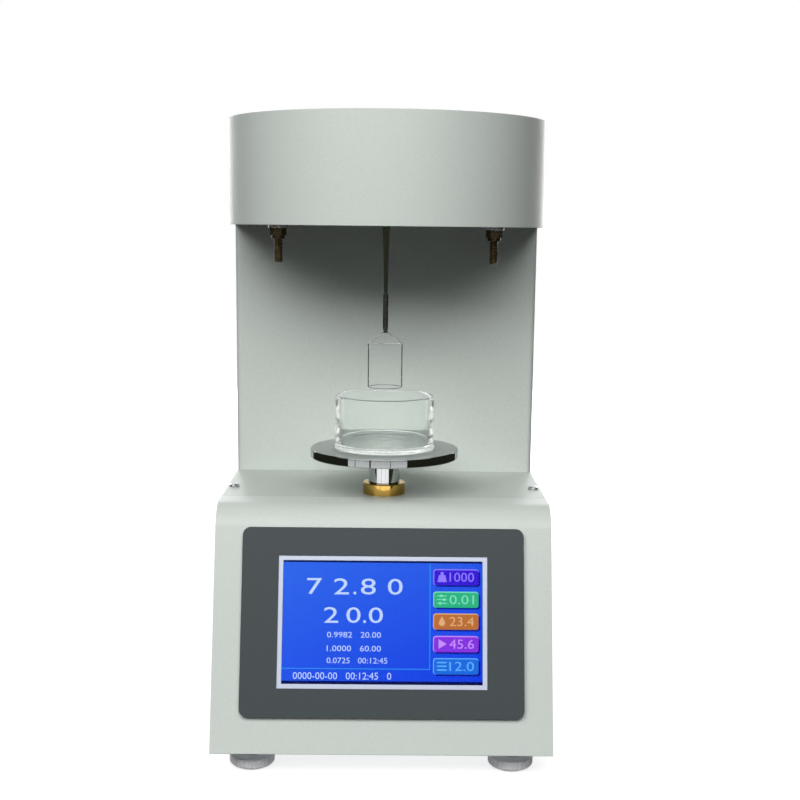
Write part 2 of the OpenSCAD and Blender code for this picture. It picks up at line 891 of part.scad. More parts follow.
module display_board() {
    color(board_green)
    on_front()
        translate([0, board_front - board_t, bezel_z]) {
            slab(board_t)
                square([panel_size[0] - 12, panel_size[1] - 12], center = true);
            translate([-panel_size[0] / 6, -2.4, 6])
                slab(2.5)
                    square([14, 14], center = true);
            translate([panel_size[0] / 5, -3.4, -10])
                slab(3.5)
                    square([22, 9], center = true);
        }
}

module display_housing() {
    pocket = [panel_size[0] + 2 * slip_gap, panel_size[1] + 2 * slip_gap];
    color(dark_plastic)
    on_front()
        translate([0, 0, bezel_z]) {
            difference() {
                translate([0, bezel_back, 0])
                    slab(housing_depth - bezel_back)
                        square([housing_w, housing_h], center = true);
                translate([0, bezel_back - cut, 0])
                    slab(panel_front + panel_t - bezel_back + cut)
                        square(pocket, center = true);
                // The hollow behind the panel is narrower, so that its edge carries the panel
                slab(housing_depth - housing_back_t)
                    square([pocket[0] - 6, pocket[1] - 6], center = true);
            }
            for (sx = [-1, 1], sz = [-1, 1])
                translate([sx * (panel_size[0] / 2 - 12), board_front, sz * (panel_size[1] / 2 - 12)])
                    slab(pillar_h + cut)
                        circle(3);
        }
}

module display_clamps() {
    color(steel)
    on_front()
        for (sx = [-1, 1], sz = [-1, 1])
            translate([sx * (housing_w + clamp_size[0]) / 2, sheet_t, bezel_z + sz * clamp_pitch / 2])
                slab(clamp_size[1])
                    difference() {
                        square([clamp_size[0], clamp_size[2]], center = true);
                        circle(1.5);
                    }
}

module guide_bush() {
    color(brass)
    translate([0, axis_y, 0])
        difference() {
            union() {
                translate([0, 0, deck_z])
                    cylinder(r = collar_r, h = collar_h - chamfer);
                translate([0, 0, deck_z + collar_h - chamfer])
                    cylinder(r1 = collar_r, r2 = collar_r - chamfer, h = chamfer);
                translate([0, 0, deck_z - bush_drop])
                    cylinder(r = bush_r, h = bush_drop);
            }
            translate([0, 0, deck_z - bush_drop - cut])
                cylinder(r = post_r + fit_gap, h = bush_drop + collar_h + 2 * cut);
        }
}

module bush_nut() {
    color(brass)
    translate([0, axis_y, shelf_z - ring_nut_h])
        difference() {
            tube(ring_nut_r, bush_r + fit_gap, ring_nut_h);
            for (a = [0:90:270])
                rotate([0, 0, a])
                    translate([ring_nut_r, 0, ring_nut_h / 2])
                        cube([4, 4, 2 * ring_nut_h], center = true);
        }
}

module motor_bracket() {
    color(steel)
    translate([0, axis_y, 0])
        difference() {
            union() {
                box([-bracket_x, -bracket_y, bracket_z], [bracket_x, bracket_y, bracket_top_z]);
                for (sx = [-1, 1]) {
                    translate([sx * (leg_span + bracket_t) / 2, 0, (floor_z + bracket_top_z) / 2])
                        cube([bracket_t, 2 * bracket_y, bracket_top_z - floor_z], center = true);
                    translate([sx * (leg_span / 2 + 8), 0, floor_z + bracket_t / 2])
                        cube([16, 2 * bracket_y, bracket_t], center = true);
                }
                // Rail for the limit switches and socket of the guide rod
                box([rail_x - bracket_t / 2, -9, bracket_z], [rail_x + bracket_t / 2, 9, shelf_z - 8]);
                translate([rod_reach, 0, bracket_z])
                    cylinder(r = rod_r + 4, h = bracket_t + 8);
            }
            translate([0, 0, bracket_z - cut])
                cylinder(r = pilot_r + fit_gap, h = bracket_t + 2 * cut);
            translate([rod_reach, 0, bracket_top_z])
                cylinder(r = rod_r + fit_gap, h = 20);
            for (sx = [-1, 1], sy = [-1, 1])
                translate([sx * motor_pitch / 2, sy * motor_pitch / 2, bracket_z - cut])
                    cylinder(r = m3_r + hole_gap, h = bracket_t + 2 * cut);
        }
}

module lift_motor() {
    depth = motor_h - 8;
    color(dark_plastic)
    translate([0, axis_y, 0])
        difference() {
            union() {
                translate([0, 0, bracket_z - motor_h])
                    linear_extrude(motor_h)
                        rounded(motor_w, motor_w, 3);
                translate([0, 0, bracket_z])
                    cylinder(r = pilot_r, h = pilot_h);
            }
            translate([0, 0, bracket_z - depth])
                cylinder(r = shaft_r + fit_gap, h = depth + pilot_h + cut);
            for (sx = [-1, 1], sy = [-1, 1])
                translate([sx * motor_pitch / 2, sy * motor_pitch / 2, bracket_z - 6])
                    cylinder(r = m3_r + fit_gap, h = 6 + cut);
        }
}

module motor_screws() {
    color(steel)
    for (sx = [-1, 1], sy = [-1, 1])
        translate([sx * motor_pitch / 2, axis_y + sy * motor_pitch / 2, bracket_top_z])
            pan_screw(m3_r, m3_head_r, m3_head_h, bracket_t + 5);
}

module guide_rod() {
    color(steel)
    translate([rod_reach, axis_y, bracket_top_z])
        cylinder(r = rod_r, h = shelf_z - bracket_top_z);
}

module limit_switch(lever) {
    difference() {
        translate([0, -switch_size[1] / 2, -switch_size[2] / 2])
            cube(switch_size);
        for (sy = [-1, 1])
            translate([-cut, sy * 4.75, -2])
                rotate([0, 90, 0])
                    cylinder(r = 1.1, h = switch_size[0] + 2 * cut);
    }
    translate([1.2, -switch_size[1] / 2 + 2, lever * (switch_size[2] / 2 + 0.5) - 0.5])
        cube([4, switch_size[1] - 4, 1]);
}

module limit_switches() {
    color([0.15, 0.15, 0.18])
    for (place = [[bracket_top_z + 8, 1], [deck_z - 18, -1]])
        translate([rail_x + bracket_t / 2, axis_y, place[0]])
            limit_switch(place[1]);
}

module control_board() {
    color(board_green)
    translate([control_x, control_y, control_z]) {
        board(control_size);
        chip([-control_size[0] * 0.28, 0], [18, 18, 2]);
        chip([control_size[0] * 0.14, -control_size[1] * 0.22], [36, 10, 8]);
        chip([control_size[0] * 0.02, control_size[1] * 0.24], [16, 10, 9]);
    }
}

module power_supply() {
    color([0.75, 0.76, 0.78])
    translate([supply_x - supply_size[0], floor_back_y - supply_size[1], floor_z])
        cube(supply_size);
}

module balance_bridge() {
    color(steel)
    translate([0, axis_y, 0])
        difference() {
            union() {
                box([-bridge_x, -bridge_w / 2, bridge_z], [bridge_x, bridge_w / 2, bridge_top_z]);
                for (sx = [-1, 1])
                    translate([sx * balance_x, 0, (head_plate_z + bridge_top_z) / 2])
                        cube([2 * bridge_reach, bridge_w, bridge_top_z - head_plate_z], center = true);
            }
            translate([0, 0, bridge_z - cut])
                cylinder(r = hanger_hole_r, h = bridge_t + 2 * cut);
            for (sx = [-1, 1])
                translate([sx * balance_x, 0, head_plate_z - cut])
                    cylinder(r = balance_stud_r + fit_gap, h = bridge_top_z - head_plate_z + 2 * cut);
        }
}

module balance_studs() {
    color(steel)
    for (sx = [-1, 1])
        translate([sx * balance_x, axis_y, head_z - balance_stud_drop])
            cylinder(r = balance_stud_r, h = bridge_top_z + washer_t + stud_nut_h + 2 - head_z + balance_stud_drop);
}

// A lock nut: hexagon with a round insert at its far end
module lock_nut() {
    hex_r = nut_flats / 2 / cos(30);
    hex_h = stud_nut_h * 0.7;
    difference() {
        union() {
            cylinder(r = hex_r, h = hex_h, $fn = 6);
            cylinder(r = nut_flats / 2 - 0.3, h = stud_nut_h);
        }
        translate([0, 0, -cut])
            cylinder(r = balance_stud_r + fit_gap, h = stud_nut_h + 2 * cut);
    }
}

module stud_nuts() {
    color(steel)
    for (sx = [-1, 1])
        translate([sx * balance_x, axis_y, 0]) {
            translate([0, 0, head_z - washer_t])
                mirror([0, 0, 1])
                    lock_nut();
            translate([0, 0, bridge_top_z + washer_t])
                lock_nut();
        }
}

module stud_washers() {
    color(steel)
    for (sx = [-1, 1], z = [head_z - washer_t, bridge_top_z])
        translate([sx * balance_x, axis_y, z])
            tube(washer_r, balance_stud_r + fit_gap, washer_t);
}

module cell_spacer() {
    color(steel)
    translate([0, axis_y, 0])
        box([-cell_back, -cell_w / 2, bridge_top_z], [-cell_back + spacer_l, cell_w / 2, cell_z]);
}

// The load cell bends at two thin places above and below its linked holes
module load_cell() {
    waist_x = -cell_back + spacer_l + 7;
    waist_r = cell_w * 0.34;
    color([0.80, 0.81, 0.82])
    translate([0, axis_y, cell_z])
        difference() {
            box([-cell_back, -cell_w / 2, 0], [cell_nose, cell_w / 2, cell_w]);
            for (x = [waist_x, waist_x + 12])
                translate([x, 0, cell_w / 2])
                    rotate([90, 0, 0])
                        cylinder(r = waist_r, h = 2 * cell_w, center = true);
            translate([waist_x + 6, 0, cell_w / 2])
                cube([12, 2 * cell_w, waist_r], center = true);
        }
}

module signal_board() {
    color(board_green)
    translate([signal_x, signal_y, signal_z]) {
        board(signal_size);
        translate([0, 0, -signal_pillar_h])
            at_corners(signal_size)
                cylinder(r = pillar_r, h = signal_pillar_h);
        chip([-signal_size[0] / 5, 0], [14, 14, 2]);
        chip([signal_size[0] / 4, -signal_size[1] / 5], [12, 8, 6.5]);
    }
}

module inlet_body() {
    color(dark_plastic)
    translate([-inlet_x, cover_y, inlet_z])
        difference() {
            union() {
                slab(rear_flange_t)
                    rounded(inlet_flange[0], inlet_flange[1], 3);
                translate([0, -inlet_depth, 0])
                    slab(inlet_depth + cut)
                        square(inlet_core, center = true);
            }
            // Socket with two cut corners
            translate([0, rear_flange_t - socket_depth, socket_z])
                slab(socket_depth + cut)
                    polygon([
                        [-socket_size[0] / 2, -socket_size[1] / 2],
                        [socket_size[0] / 2, -socket_size[1] / 2],
                        [socket_size[0] / 2, socket_size[1] / 2 - 4],
                        [socket_size[0] / 2 - 4, socket_size[1] / 2],
                        [-socket_size[0] / 2 + 4, socket_size[1] / 2],
                        [-socket_size[0] / 2, socket_size[1] / 2 - 4]
                    ]);
            translate([0, rear_flange_t - drawer_l - slip_gap, drawer_z])
                slab(drawer_l + slip_gap + cut)
                    square([drawer_size[0] + slip_gap, drawer_size[1] + slip_gap], center = true);
            for (sx = [-1, 1])
                translate([sx * inlet_screw_x, 0, 0])
                    rotate([90, 0, 0])
                        cylinder(r = m3_r + hole_gap, h = 12, center = true);
        }
}

module inlet_pins() {
    color(brass)
    translate([-inlet_x, cover_y + rear_flange_t - socket_depth, inlet_z + socket_z])
        for (p = [[-7, -2], [7, -2], [0, 3]])
            translate([p[0], 0, p[1]])
                slab(socket_depth - 4)
                    square([2, 4], center = true);
}

module switch_frame() {
    color(dark_plastic)
    translate([-inlet_x, cover_y, switch_z])
        difference() {
            union() {
                slab(rear_flange_t)
                    rounded(switch_core[0] + 3, switch_core[1] + 3, 1.5);
                translate([0, -15, 0])
                    slab(15 + cut)
                        square(switch_core, center = true);
            }
            translate([0, -13, 0])
                slab(20)
                    square([rocker_size[0] + 2 * slip_gap, rocker_size[1] + 2 * rocker_clear], center = true);
            translate([0, rocker_y - cover_y, 0])
                rotate([0, 90, 0])
                    cylinder(r = 1 + fit_gap, h = 2 * switch_core[0], center = true);
        }
}

module data_port() {
    color([0.62, 0.63, 0.65])
    translate([port_x, cover_y, port_z])
        difference() {
            union() {
                slab(0.8)
                    rounded(port_flange[0], port_flange[1], 1);
                translate([0, -10, 0])
                    slab(12.4)
                        rounded(17, 8.4, 2);
                for (sx = [-1, 1])
                    translate([sx * 12.5, 0, 0])
                        rotate([-90, 0, 0])
                            cylinder(r = 2.6, h = 2.4, $fn = 6);
            }
            for (row = [[5, 1.4], [4, -1.4]], i = [0:row[0] - 1])
                translate([(i - (row[0] - 1) / 2) * 2.76, 0, row[1]])
                    slab(4)
                        circle(0.5, $fn = 16);
        }
}

module platform() {
    color(steel)
    translate([0, axis_y, platform_z - platform_t])
        difference() {
            union() {
                cylinder(r1 = platform_r - chamfer, r2 = platform_r, h = chamfer, $fn = 128);
                translate([0, 0, chamfer])
                    cylinder(r = platform_r, h = platform_t - 2 * chamfer, $fn = 128);
                translate([0, 0, platform_t - chamfer])
                    cylinder(r1 = platform_r, r2 = platform_r - chamfer, h = chamfer, $fn = 128);
            }
            translate([0, 0, -cut])
                cylinder(r = spigot_r + fit_gap, h = spigot_h + fit_gap + cut);
        }
}

module lift_post() {
    length = platform_z - platform_t - post_foot_z;
    color(steel)
    translate([0, axis_y, post_foot_z])
        difference() {
            union() {
                cylinder(r = post_r, h = length);
                cylinder(r = spigot_r, h = length + spigot_h);
            }
            translate([0, 0, -cut])
                cylinder(r = screw_r + 0.6, h = length - 15 + cut);
        }
}

module lift_nut() {
    color(brass)
    translate([0, axis_y, nut_foot_z])
        difference() {
            union() {
                cylinder(r = nut_r, h = nut_h);
                translate([0, 0, nut_h])
                    cylinder(r = nut_flange_r, h = nut_flange_t);
            }
            translate([0, 0, -cut])
                cylinder(r = screw_r + fit_gap, h = nut_h + nut_flange_t + 2 * cut);
        }
}

module guide_arm() {
    eye_r = rod_r + 2 * fit_gap + arm_bush_wall;
    color(steel)
    translate([0, axis_y, nut_foot_z])
        difference() {
            union() {
                cylinder(r = arm_ring_r, h = nut_h);
                translate([0, -arm_w / 2, 0])
                    cube([rod_reach, arm_w, nut_h]);
                translate([rod_reach, 0, 0])
                    cylinder(r = arm_eye_r, h = nut_h);
                translate([-flag_reach, -3, 2])
                    cube([flag_reach, 6, 3]);
            }
            translate([0, 0, -cut])
                cylinder(r = nut_r + fit_gap, h = nut_h + 2 * cut);
            translate([rod_reach, 0, -cut])
                cylinder(r = eye_r, h = nut_h + 2 * cut);
        }
}

module arm_bush() {
    color(brass)
    translate([rod_reach, axis_y, nut_foot_z - 1])
        tube(rod_r + fit_gap + arm_bush_wall, rod_r + fit_gap, nut_h + 2);
}

module lead_screw() {
    thread_z = coupling_z + coupling_h + 0.5;
    color(steel)
    translate([0, axis_y, 0]) {
        translate([0, 0, thread_z])
            cylinder(r = screw_r, h = screw_top_z - thread_z);
        translate([0, 0, shaft_top_z + 1])
            cylinder(r = seat_r, h = thread_z - shaft_top_z);
    }
}

module shaft_coupling() {
    color([0.80, 0.81, 0.82])
    translate([0, axis_y, coupling_z])
        difference() {
            cylinder(r = coupling_r, h = coupling_h);
            translate([0, 0, -cut])
                cylinder(r = shaft_r + fit_gap, h = coupling_h);
            translate([0, 0, shaft_top_z + 0.5 - coupling_z])
                cylinder(r = seat_r + fit_gap, h = coupling_h);
        }
}

module motor_shaft() {
    foot_z = bracket_z - motor_h + 8.5;
    color(steel)
    translate([0, axis_y, foot_z])
        cylinder(r = shaft_r, h = shaft_top_z - foot_z);
}

// The dish's section: thick floor with a wider round foot, straight wall and round rim
module dish_section() {
    square([dish_r, dish_floor]);
    translate([dish_foot_r - dish_floor / 2, dish_floor / 2])
        circle(dish_floor / 2);
    translate([dish_r - dish_wall - 1, 0])
        square([dish_foot_r - dish_floor / 2 - dish_r + dish_wall + 1, dish_floor]);
    translate([dish_r - dish_wall, 0])
        square([dish_wall, dish_h - dish_wall / 2]);
    translate([dish_r - dish_wall / 2, dish_h - dish_wall / 2])
        circle(dish_wall / 2);
}

module sample_dish() {
    color([0.85, 0.92, 0.92, 0.4])
    translate([0, axis_y, platform_z])
        rotate_extrude($fn = 128)
            dish_section();
}

module hanger_rod() {
    collar_z = bridge_z - 2;
    color(steel)
    translate([0, axis_y, 0]) {
        translate([0, 0, hanger_foot_z])
            cylinder(r1 = hanger_low_r, r2 = hanger_top_r, h = head_z - hanger_foot_z);
        translate([0, 0, head_z])
            cylinder(r = hanger_top_r, h = collar_z - head_z);
        translate([0, 0, collar_z])
            cylinder(r = hanger_top_r + 1.5, h = cell_z - collar_z);
    }
}

module ring_chuck() {
    groove = 0.3;
    color([0.35, 0.35, 0.36])
    translate([0, axis_y, chuck_z])
        difference() {
            union() {
                cylinder(r = chuck_r, h = jaw_h - groove);
                translate([0, 0, jaw_h - groove])
                    cylinder(r = chuck_r - 0.35, h = groove);
                translate([0, 0, jaw_h])
                    cylinder(r = chuck_r, h = neck_h);
            }
            translate([0, 0, -cut])
                cylinder(r = stem_r + fit_gap, h = jaw_h - 0.5 + cut);
        }
}

// A straight wire between two points of the XZ plane
module wire(a, b, r) {
    run = b - a;
    translate([a[0], 0, a[1]])
        rotate([0, atan2(run[0], run[1]), 0])
            cylinder(r = r, h = norm(run), $fn = 24);
}

module measuring_ring() {
    hub_h = 1.6;
    hub_z = chuck_z - 0.2 - hub_h;
    corner_r = stirrup_r + 0.06;
    color([0.86, 0.86, 0.88])
    translate([0, axis_y, 0]) {
        translate([0, 0, hub_z + hub_h / 2])
            cylinder(r = stem_r, h = jaw_h - 1 + hub_h / 2);
        translate([0, 0, hub_z])
            cylinder(r = 1.2, h = hub_h);
        translate([0, 0, ring_z + wire_r])
            rotate_extrude($fn = 96)
                translate([ring_r, 0])
                    circle(wire_r, $fn = 16);
        wire([-ring_r, bar_z], [ring_r, bar_z], stirrup_r);
        for (sx = [-1, 1]) {
            wire([sx * 0.8, hub_z + hub_h / 2], [sx * ring_r, bar_z], stirrup_r);
            wire([sx * ring_r, ring_z + wire_r], [sx * ring_r, bar_z], stirrup_r);
            translate([sx * ring_r, 0, bar_z])
                sphere(corner_r, $fn = 24);
        }
    }
}

module wheel(p) {
    edge = 1.4;
    color([0.80, 0.81, 0.80])
    translate([p[0], p[1], 0])
        difference() {
            union() {
                translate([0, 0, wheel_gap])
                    cylinder(r1 = wheel_r - edge, r2 = wheel_r - 0.1, h = edge);
                translate([0, 0, wheel_gap + edge])
                    linear_extrude(wheel_top - wheel_gap - edge)
                        difference() {
                            circle(wheel_r);
                            for (i = [0:wheel_grooves - 1])
                                rotate(i * 360 / wheel_grooves)
                                    translate([wheel_r, 0])
                                        circle(groove_r, $fn = 16);
                        }
                translate([0, 0, wheel_top - 1])
                    cylinder(r = stud_r, h = floor_z + boss_h - wheel_top + 0.5);
            }
            translate([0, 0, -cut])
                cylinder(r = pad_r + slip_gap, h = pad_t + cut);
        }
}

module pad(p) {
    color(dark_plastic)
    translate([p[0], p[1], 0])
        cylinder(r = pad_r, h = pad_t);
}

// The rocker's side view is a shallow V in front and narrows towards its pivot
module power_rocker() {
    h = rocker_size[1] / 2;
    color([0.10, 0.10, 0.11])
    translate([-inlet_x, rocker_y, switch_z])
        rotate([rocker_tilt, 0, 0]) {
            across(rocker_size[0])
                polygon([[4.3, -h], [3.1, 0], [4.3, h], [-0.5, h], [-5, 3], [-5, -3], [-0.5, -h]]);
            rotate([0, 90, 0])
                cylinder(r = 1, h = rocker_size[0] + 2 * rocker_wall, center = true);
        }
}

module fuse_drawer() {
    color([0.16, 0.16, 0.17])
    translate([-inlet_x, cover_y + rear_flange_t - drawer_l, inlet_z + drawer_z])
        difference() {
            union() {
                slab(drawer_l)
                    square(drawer_size, center = true);
                translate([0, drawer_l, 0])
                    slab(rear_proud - rear_flange_t)
                        square([drawer_size[0] / 2, 1.6], center = true);
            }
            box([-10.2, 3, -2.7], [10.2, 8.4, drawer_size[1]]);
        }
}

module fuse() {
    color([0.85, 0.85, 0.86])
    translate([-inlet_x, cover_y + rear_flange_t - drawer_l + 5.7, inlet_z + drawer_z - 0.15])
        rotate([0, 90, 0])
            cylinder(r = 2.5, h = 20, center = true);
}

base_shell();
top_plate();
bottom_plate();
foot_bosses();
column_shell();
rear_cover();
cover_screws();
head_plate();
head_shell();
display_bezel();
window_frame();
touch_glass();
lcd_panel();
display_board();
display_housing();
display_seal();
display_clamps();
guide_bush();
bush_nut();
motor_bracket();
lift_motor();
motor_screws();
guide_rod();
limit_switches();
control_board();
power_supply();
balance_bridge();
balance_studs();
stud_nuts();
stud_washers();
cell_spacer();
load_cell();
signal_board();
inlet_body();
inlet_pins();
switch_frame();
data_port();
platform();
lift_post();
lift_nut();
guide_arm();
arm_bush();
lead_screw();
shaft_coupling();
motor_shaft();
sample_dish();
hanger_rod();
ring_chuck();
measuring_ring();
wheel(FEET[0]);  // wheel_fl
wheel(FEET[1]);  // wheel_fr
wheel(FEET[2]);  // wheel_rl
wheel(FEET[3]);  // wheel_rr
pad(FEET[0]);  // pad_fl
pad(FEET[1]);  // pad_fr
pad(FEET[2]);  // pad_rl
pad(FEET[3]);  // pad_rr
power_rocker();
fuse_drawer();
fuse();
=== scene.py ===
# %% [markdown]
# # A bench surface tensiometer
# A platinum ring hangs from a balance in the head, over a glass dish on a lift.
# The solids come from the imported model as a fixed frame, in metres. This script
# gives each of them a finish, and makes the pieces whose detail a plain solid
# lacks: threaded studs, ribbed thumbwheels, a clean glass dish, the lit screen
# and the marks on the mains rocker.

# %% Load the frame
import json
import math

import bpy
from mathutils import Matrix, Vector


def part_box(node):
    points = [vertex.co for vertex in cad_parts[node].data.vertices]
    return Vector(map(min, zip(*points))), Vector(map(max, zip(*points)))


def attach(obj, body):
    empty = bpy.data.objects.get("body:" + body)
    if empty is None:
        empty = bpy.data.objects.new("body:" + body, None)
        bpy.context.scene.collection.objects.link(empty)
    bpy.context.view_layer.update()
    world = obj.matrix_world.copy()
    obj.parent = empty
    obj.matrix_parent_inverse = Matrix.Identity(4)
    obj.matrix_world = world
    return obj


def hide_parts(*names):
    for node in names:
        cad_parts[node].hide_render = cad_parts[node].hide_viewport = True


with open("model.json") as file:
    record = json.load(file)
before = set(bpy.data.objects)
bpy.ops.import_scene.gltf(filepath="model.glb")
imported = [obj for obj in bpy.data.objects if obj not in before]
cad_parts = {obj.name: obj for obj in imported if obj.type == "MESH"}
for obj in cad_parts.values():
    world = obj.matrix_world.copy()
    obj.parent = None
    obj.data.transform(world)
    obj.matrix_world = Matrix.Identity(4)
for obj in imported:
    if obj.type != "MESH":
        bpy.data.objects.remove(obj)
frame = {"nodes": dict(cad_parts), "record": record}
NODES = frame["nodes"]
SLOT_OF = {part["node"]: part["material_slot"] for part in frame["record"]["subparts"]}
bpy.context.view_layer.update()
MM = 0.001
SCENE = bpy.context.scene
SCENE.view_settings.view_transform = "Standard"

# %% [markdown]
# ## Camera
# The photograph was taken from about 0.8 m away, with the lens at the height of
# the head and turned down 11 degrees. Place, turn and lens were fitted to the
# object's outline. shift_y moves the frame up against the lens, as when a
# picture is cut from the upper part of a larger view.

# %% Camera
PAN, TILT, ROLL = (math.radians(angle) for angle in (0.60, -10.78, 0.65))
EYE_MM = Vector((1.31, -800.59, 295.36))
forward = Vector((math.sin(PAN) * math.cos(TILT), math.cos(PAN) * math.cos(TILT), math.sin(TILT)))
level = Vector((math.cos(PAN), -math.sin(PAN), 0))
above = level.cross(forward)
right = level * math.cos(ROLL) + above * math.sin(ROLL)
up = above * math.cos(ROLL) - level * math.sin(ROLL)

lens = bpy.data.cameras.new("camera")
lens.sensor_width = 36
lens.lens = 59.9
lens.shift_y = 0.1
lens.clip_start = 0.01
camera = bpy.data.objects.new("camera", lens)
facing = Matrix((right, up, -forward)).transposed().to_4x4()
camera.matrix_world = Matrix.Translation(EYE_MM * MM) @ facing
SCENE.collection.objects.link(camera)
SCENE.camera = camera
print("camera at", [round(c, 3) for c in camera.matrix_world.translation])

# %% [markdown]
# ## Helpers for finishes
# Colours are written as hex values, as on a screen, and turned to linear light
# by one function. One function adds a node of any kind with its settings and
# links. A pattern's size is given in millimetres, so that it stays true to scale.


# %% Colour, node and scale helpers
def rgb(code):
    """Linear colour of a #rrggbb value"""
    parts = [int(code[i:i + 2], 16) / 255 for i in (1, 3, 5)]
    return (*[c / 12.92 if c <= 0.04045 else ((c + 0.055) / 1.055) ** 2.4 for c in parts], 1.0)


def add(tree, kind, inputs=None, **settings):
    """Adds a node: its settings, then its inputs, each a value, a socket or a node's first output"""
    made = tree.nodes.new(kind)
    for name, value in settings.items():
        setattr(made, name, value)
    for name, value in (inputs or {}).items():
        if isinstance(value, bpy.types.Node):
            value = value.outputs[0]
        if isinstance(value, bpy.types.NodeSocket):
            tree.links.new(value, made.inputs[name])
        else:
            made.inputs[name].default_value = value
    return made


def per(size_mm):
    """Texture scale that gives features of this size, with coordinates in metres"""
    return 1 / (size_mm * MM)


MATH = "ShaderNodeMath"
RANGE = "ShaderNodeMapRange"
NOISE = "ShaderNodeTexNoise"
NOISE_SPAN = {"From Min": 0.3, "From Max": 0.7}  # nearly all of a noise lies between these
print("helpers ready")

# %% [markdown]
# ## What all finishes share
# Each finish starts from a shader and the object's own coordinates, then takes
# two colours that a pattern mixes, and a bump. The Bevel node rounds hard edges
# in the shading.

# %% Shader, tint and relief
MATERIALS = {}


def finish(name, colour, roughness, **shader_values):
    """A new material with its shader. Returns tree, shader and object coordinates"""
    material = bpy.data.materials.new(name)
    material.use_nodes = True
    tree = material.node_tree
    tree.nodes.clear()
    values = {key.replace("_", " "): value for key, value in shader_values.items()}
    shader = add(tree, "ShaderNodeBsdfPrincipled", {
        "Base Color": rgb(colour), "Roughness": roughness, **values})
    add(tree, "ShaderNodeOutputMaterial", {"Surface": shader})
    MATERIALS[name] = material
    return tree, shader, add(tree, "ShaderNodeTexCoord").outputs["Object"]


def tint(tree, shader, amount, first, second, socket="Base Color"):
    """A colour of the shader that runs between two hex colours as amount goes from 0 to 1"""
    mixed = add(tree, "ShaderNodeMixRGB", {"Fac": amount, "Color1": rgb(first), "Color2": rgb(second)})
    tree.links.new(mixed.outputs[0], shader.inputs[socket])


def roughen(tree, shader, rough):
    """Lets a node's result drive the shader's roughness"""
    tree.links.new(rough.outputs[0], shader.inputs["Roughness"])


def relief(tree, shader, height, depth_mm, rounding_mm=0.0):
    """Bump from a height pattern, over edges that are rounded by a small radius"""
    inputs = {"Height": height, "Distance": depth_mm * MM, "Strength": 1.0}
    if rounding_mm:
        inputs["Normal"] = add(tree, "ShaderNodeBevel", {"Radius": rounding_mm * MM}, samples=4)
    tree.links.new(add(tree, "ShaderNodeBump", inputs).outputs[0], shader.inputs["Normal"])


print("shared parts ready")

# %% [markdown]
# ## Powder coat
# Base, column and head are folded steel sheet with a baked polyester powder
# coat. The powder melts into a skin with a fine orange peel, about a millimetre
# from crest to crest, and a soft sheen. Noise at that size drives the bump, and
# a finer one breaks the colour. The deck's coat is a little darker: painted
# shade for the shade that the head and the platform cast on it. The plate under
# the head is painted black, as painted shade for the deep shade under the head.

# %% Powder coat
PEEL_MM, PEEL_DEPTH_MM, SPECK_MM, FOLD_MM = 1.3, 0.05, 0.7, 0.6


def powder_coat(name, dark, light, roughness, sheen):
    """Baked powder: orange peel in bump and gloss, a finer speck in the colour"""
    tree, shader, place = finish(name, light, roughness, Specular_IOR_Level=sheen)
    peel = add(tree, NOISE, {"Vector": place, "Scale": per(PEEL_MM), "Detail": 2.0, "Roughness": 0.45})
    speck = add(tree, NOISE, {"Vector": place, "Scale": per(SPECK_MM), "Detail": 1.0})
    tint(tree, shader, add(tree, RANGE, {"Value": speck, **NOISE_SPAN}), dark, light)
    roughen(tree, shader, add(tree, RANGE, {
        "Value": peel, **NOISE_SPAN, "To Min": roughness - 0.05, "To Max": roughness + 0.06}))
    relief(tree, shader, peel, PEEL_DEPTH_MM, FOLD_MM)


powder_coat("powder_coat", "#C3CAC4", "#CAD1CB", 0.42, sheen=0.35)
# the deck's darker coat is painted shade, for the shade of the head and platform on it
powder_coat("deck_coat", "#B4BCB5", "#BBC3BC", 0.42, sheen=0.35)
# this black is painted shade, for the deep shade under the head
powder_coat("painted_shade_black", "#1B1D1B", "#232523", 0.50, sheen=0.2)
print("paints:", ", ".join(MATERIALS))

# %% [markdown]
# ## Sheet and fasteners
# The floor plate and the brackets are galvanised sheet: zinc crystals a few
# millimetres wide that each mirror a little differently. A Voronoi pattern gives
# one tone to each crystal. The screws are bright zinc, with finer crystals.

# %% Zinc
CRYSTAL_STEP_MM, SHEET_EDGE_MM = 0.01, 0.2


def zinc(name, dark, light, crystal_mm, low, high):
    """Bare zinc, with one tone and one roughness, from low to high, to each crystal"""
    tree, shader, place = finish(name, light, low, Metallic=1.0)
    crystal = add(tree, "ShaderNodeTexVoronoi", {"Vector": place, "Scale": per(crystal_mm)})
    tone = add(tree, "ShaderNodeSeparateColor", {"Color": crystal.outputs["Color"]})
    tint(tree, shader, tone, dark, light)
    roughen(tree, shader, add(tree, RANGE, {"Value": tone, "To Min": low, "To Max": high}))
    relief(tree, shader, tone, CRYSTAL_STEP_MM, SHEET_EDGE_MM)


zinc("zinc_sheet", "#9EA3A6", "#C2C6C8", crystal_mm=6.0, low=0.32, high=0.5)
zinc("zinc_fastener", "#B4B8BA", "#D6D8D9", crystal_mm=1.5, low=0.2, high=0.34)
print("zinc ready")

# %% [markdown]
# ## Turned and ground metal
# Platform, post, bush and chuck come from a lathe. The tool leaves fine rings
# round the axis, so the pattern is read by the distance from the axis and by the
# height, never by the angle. Real tool marks are 0.05 mm apart. They are drawn
# at 0.3 mm or more to show at all. The platform's top is satin, its rim polished
# and painted darker, as a painted dark reflection.

# %% Rings round the lift's axis
LIFT_AXIS = (0, -42 * MM, 0)


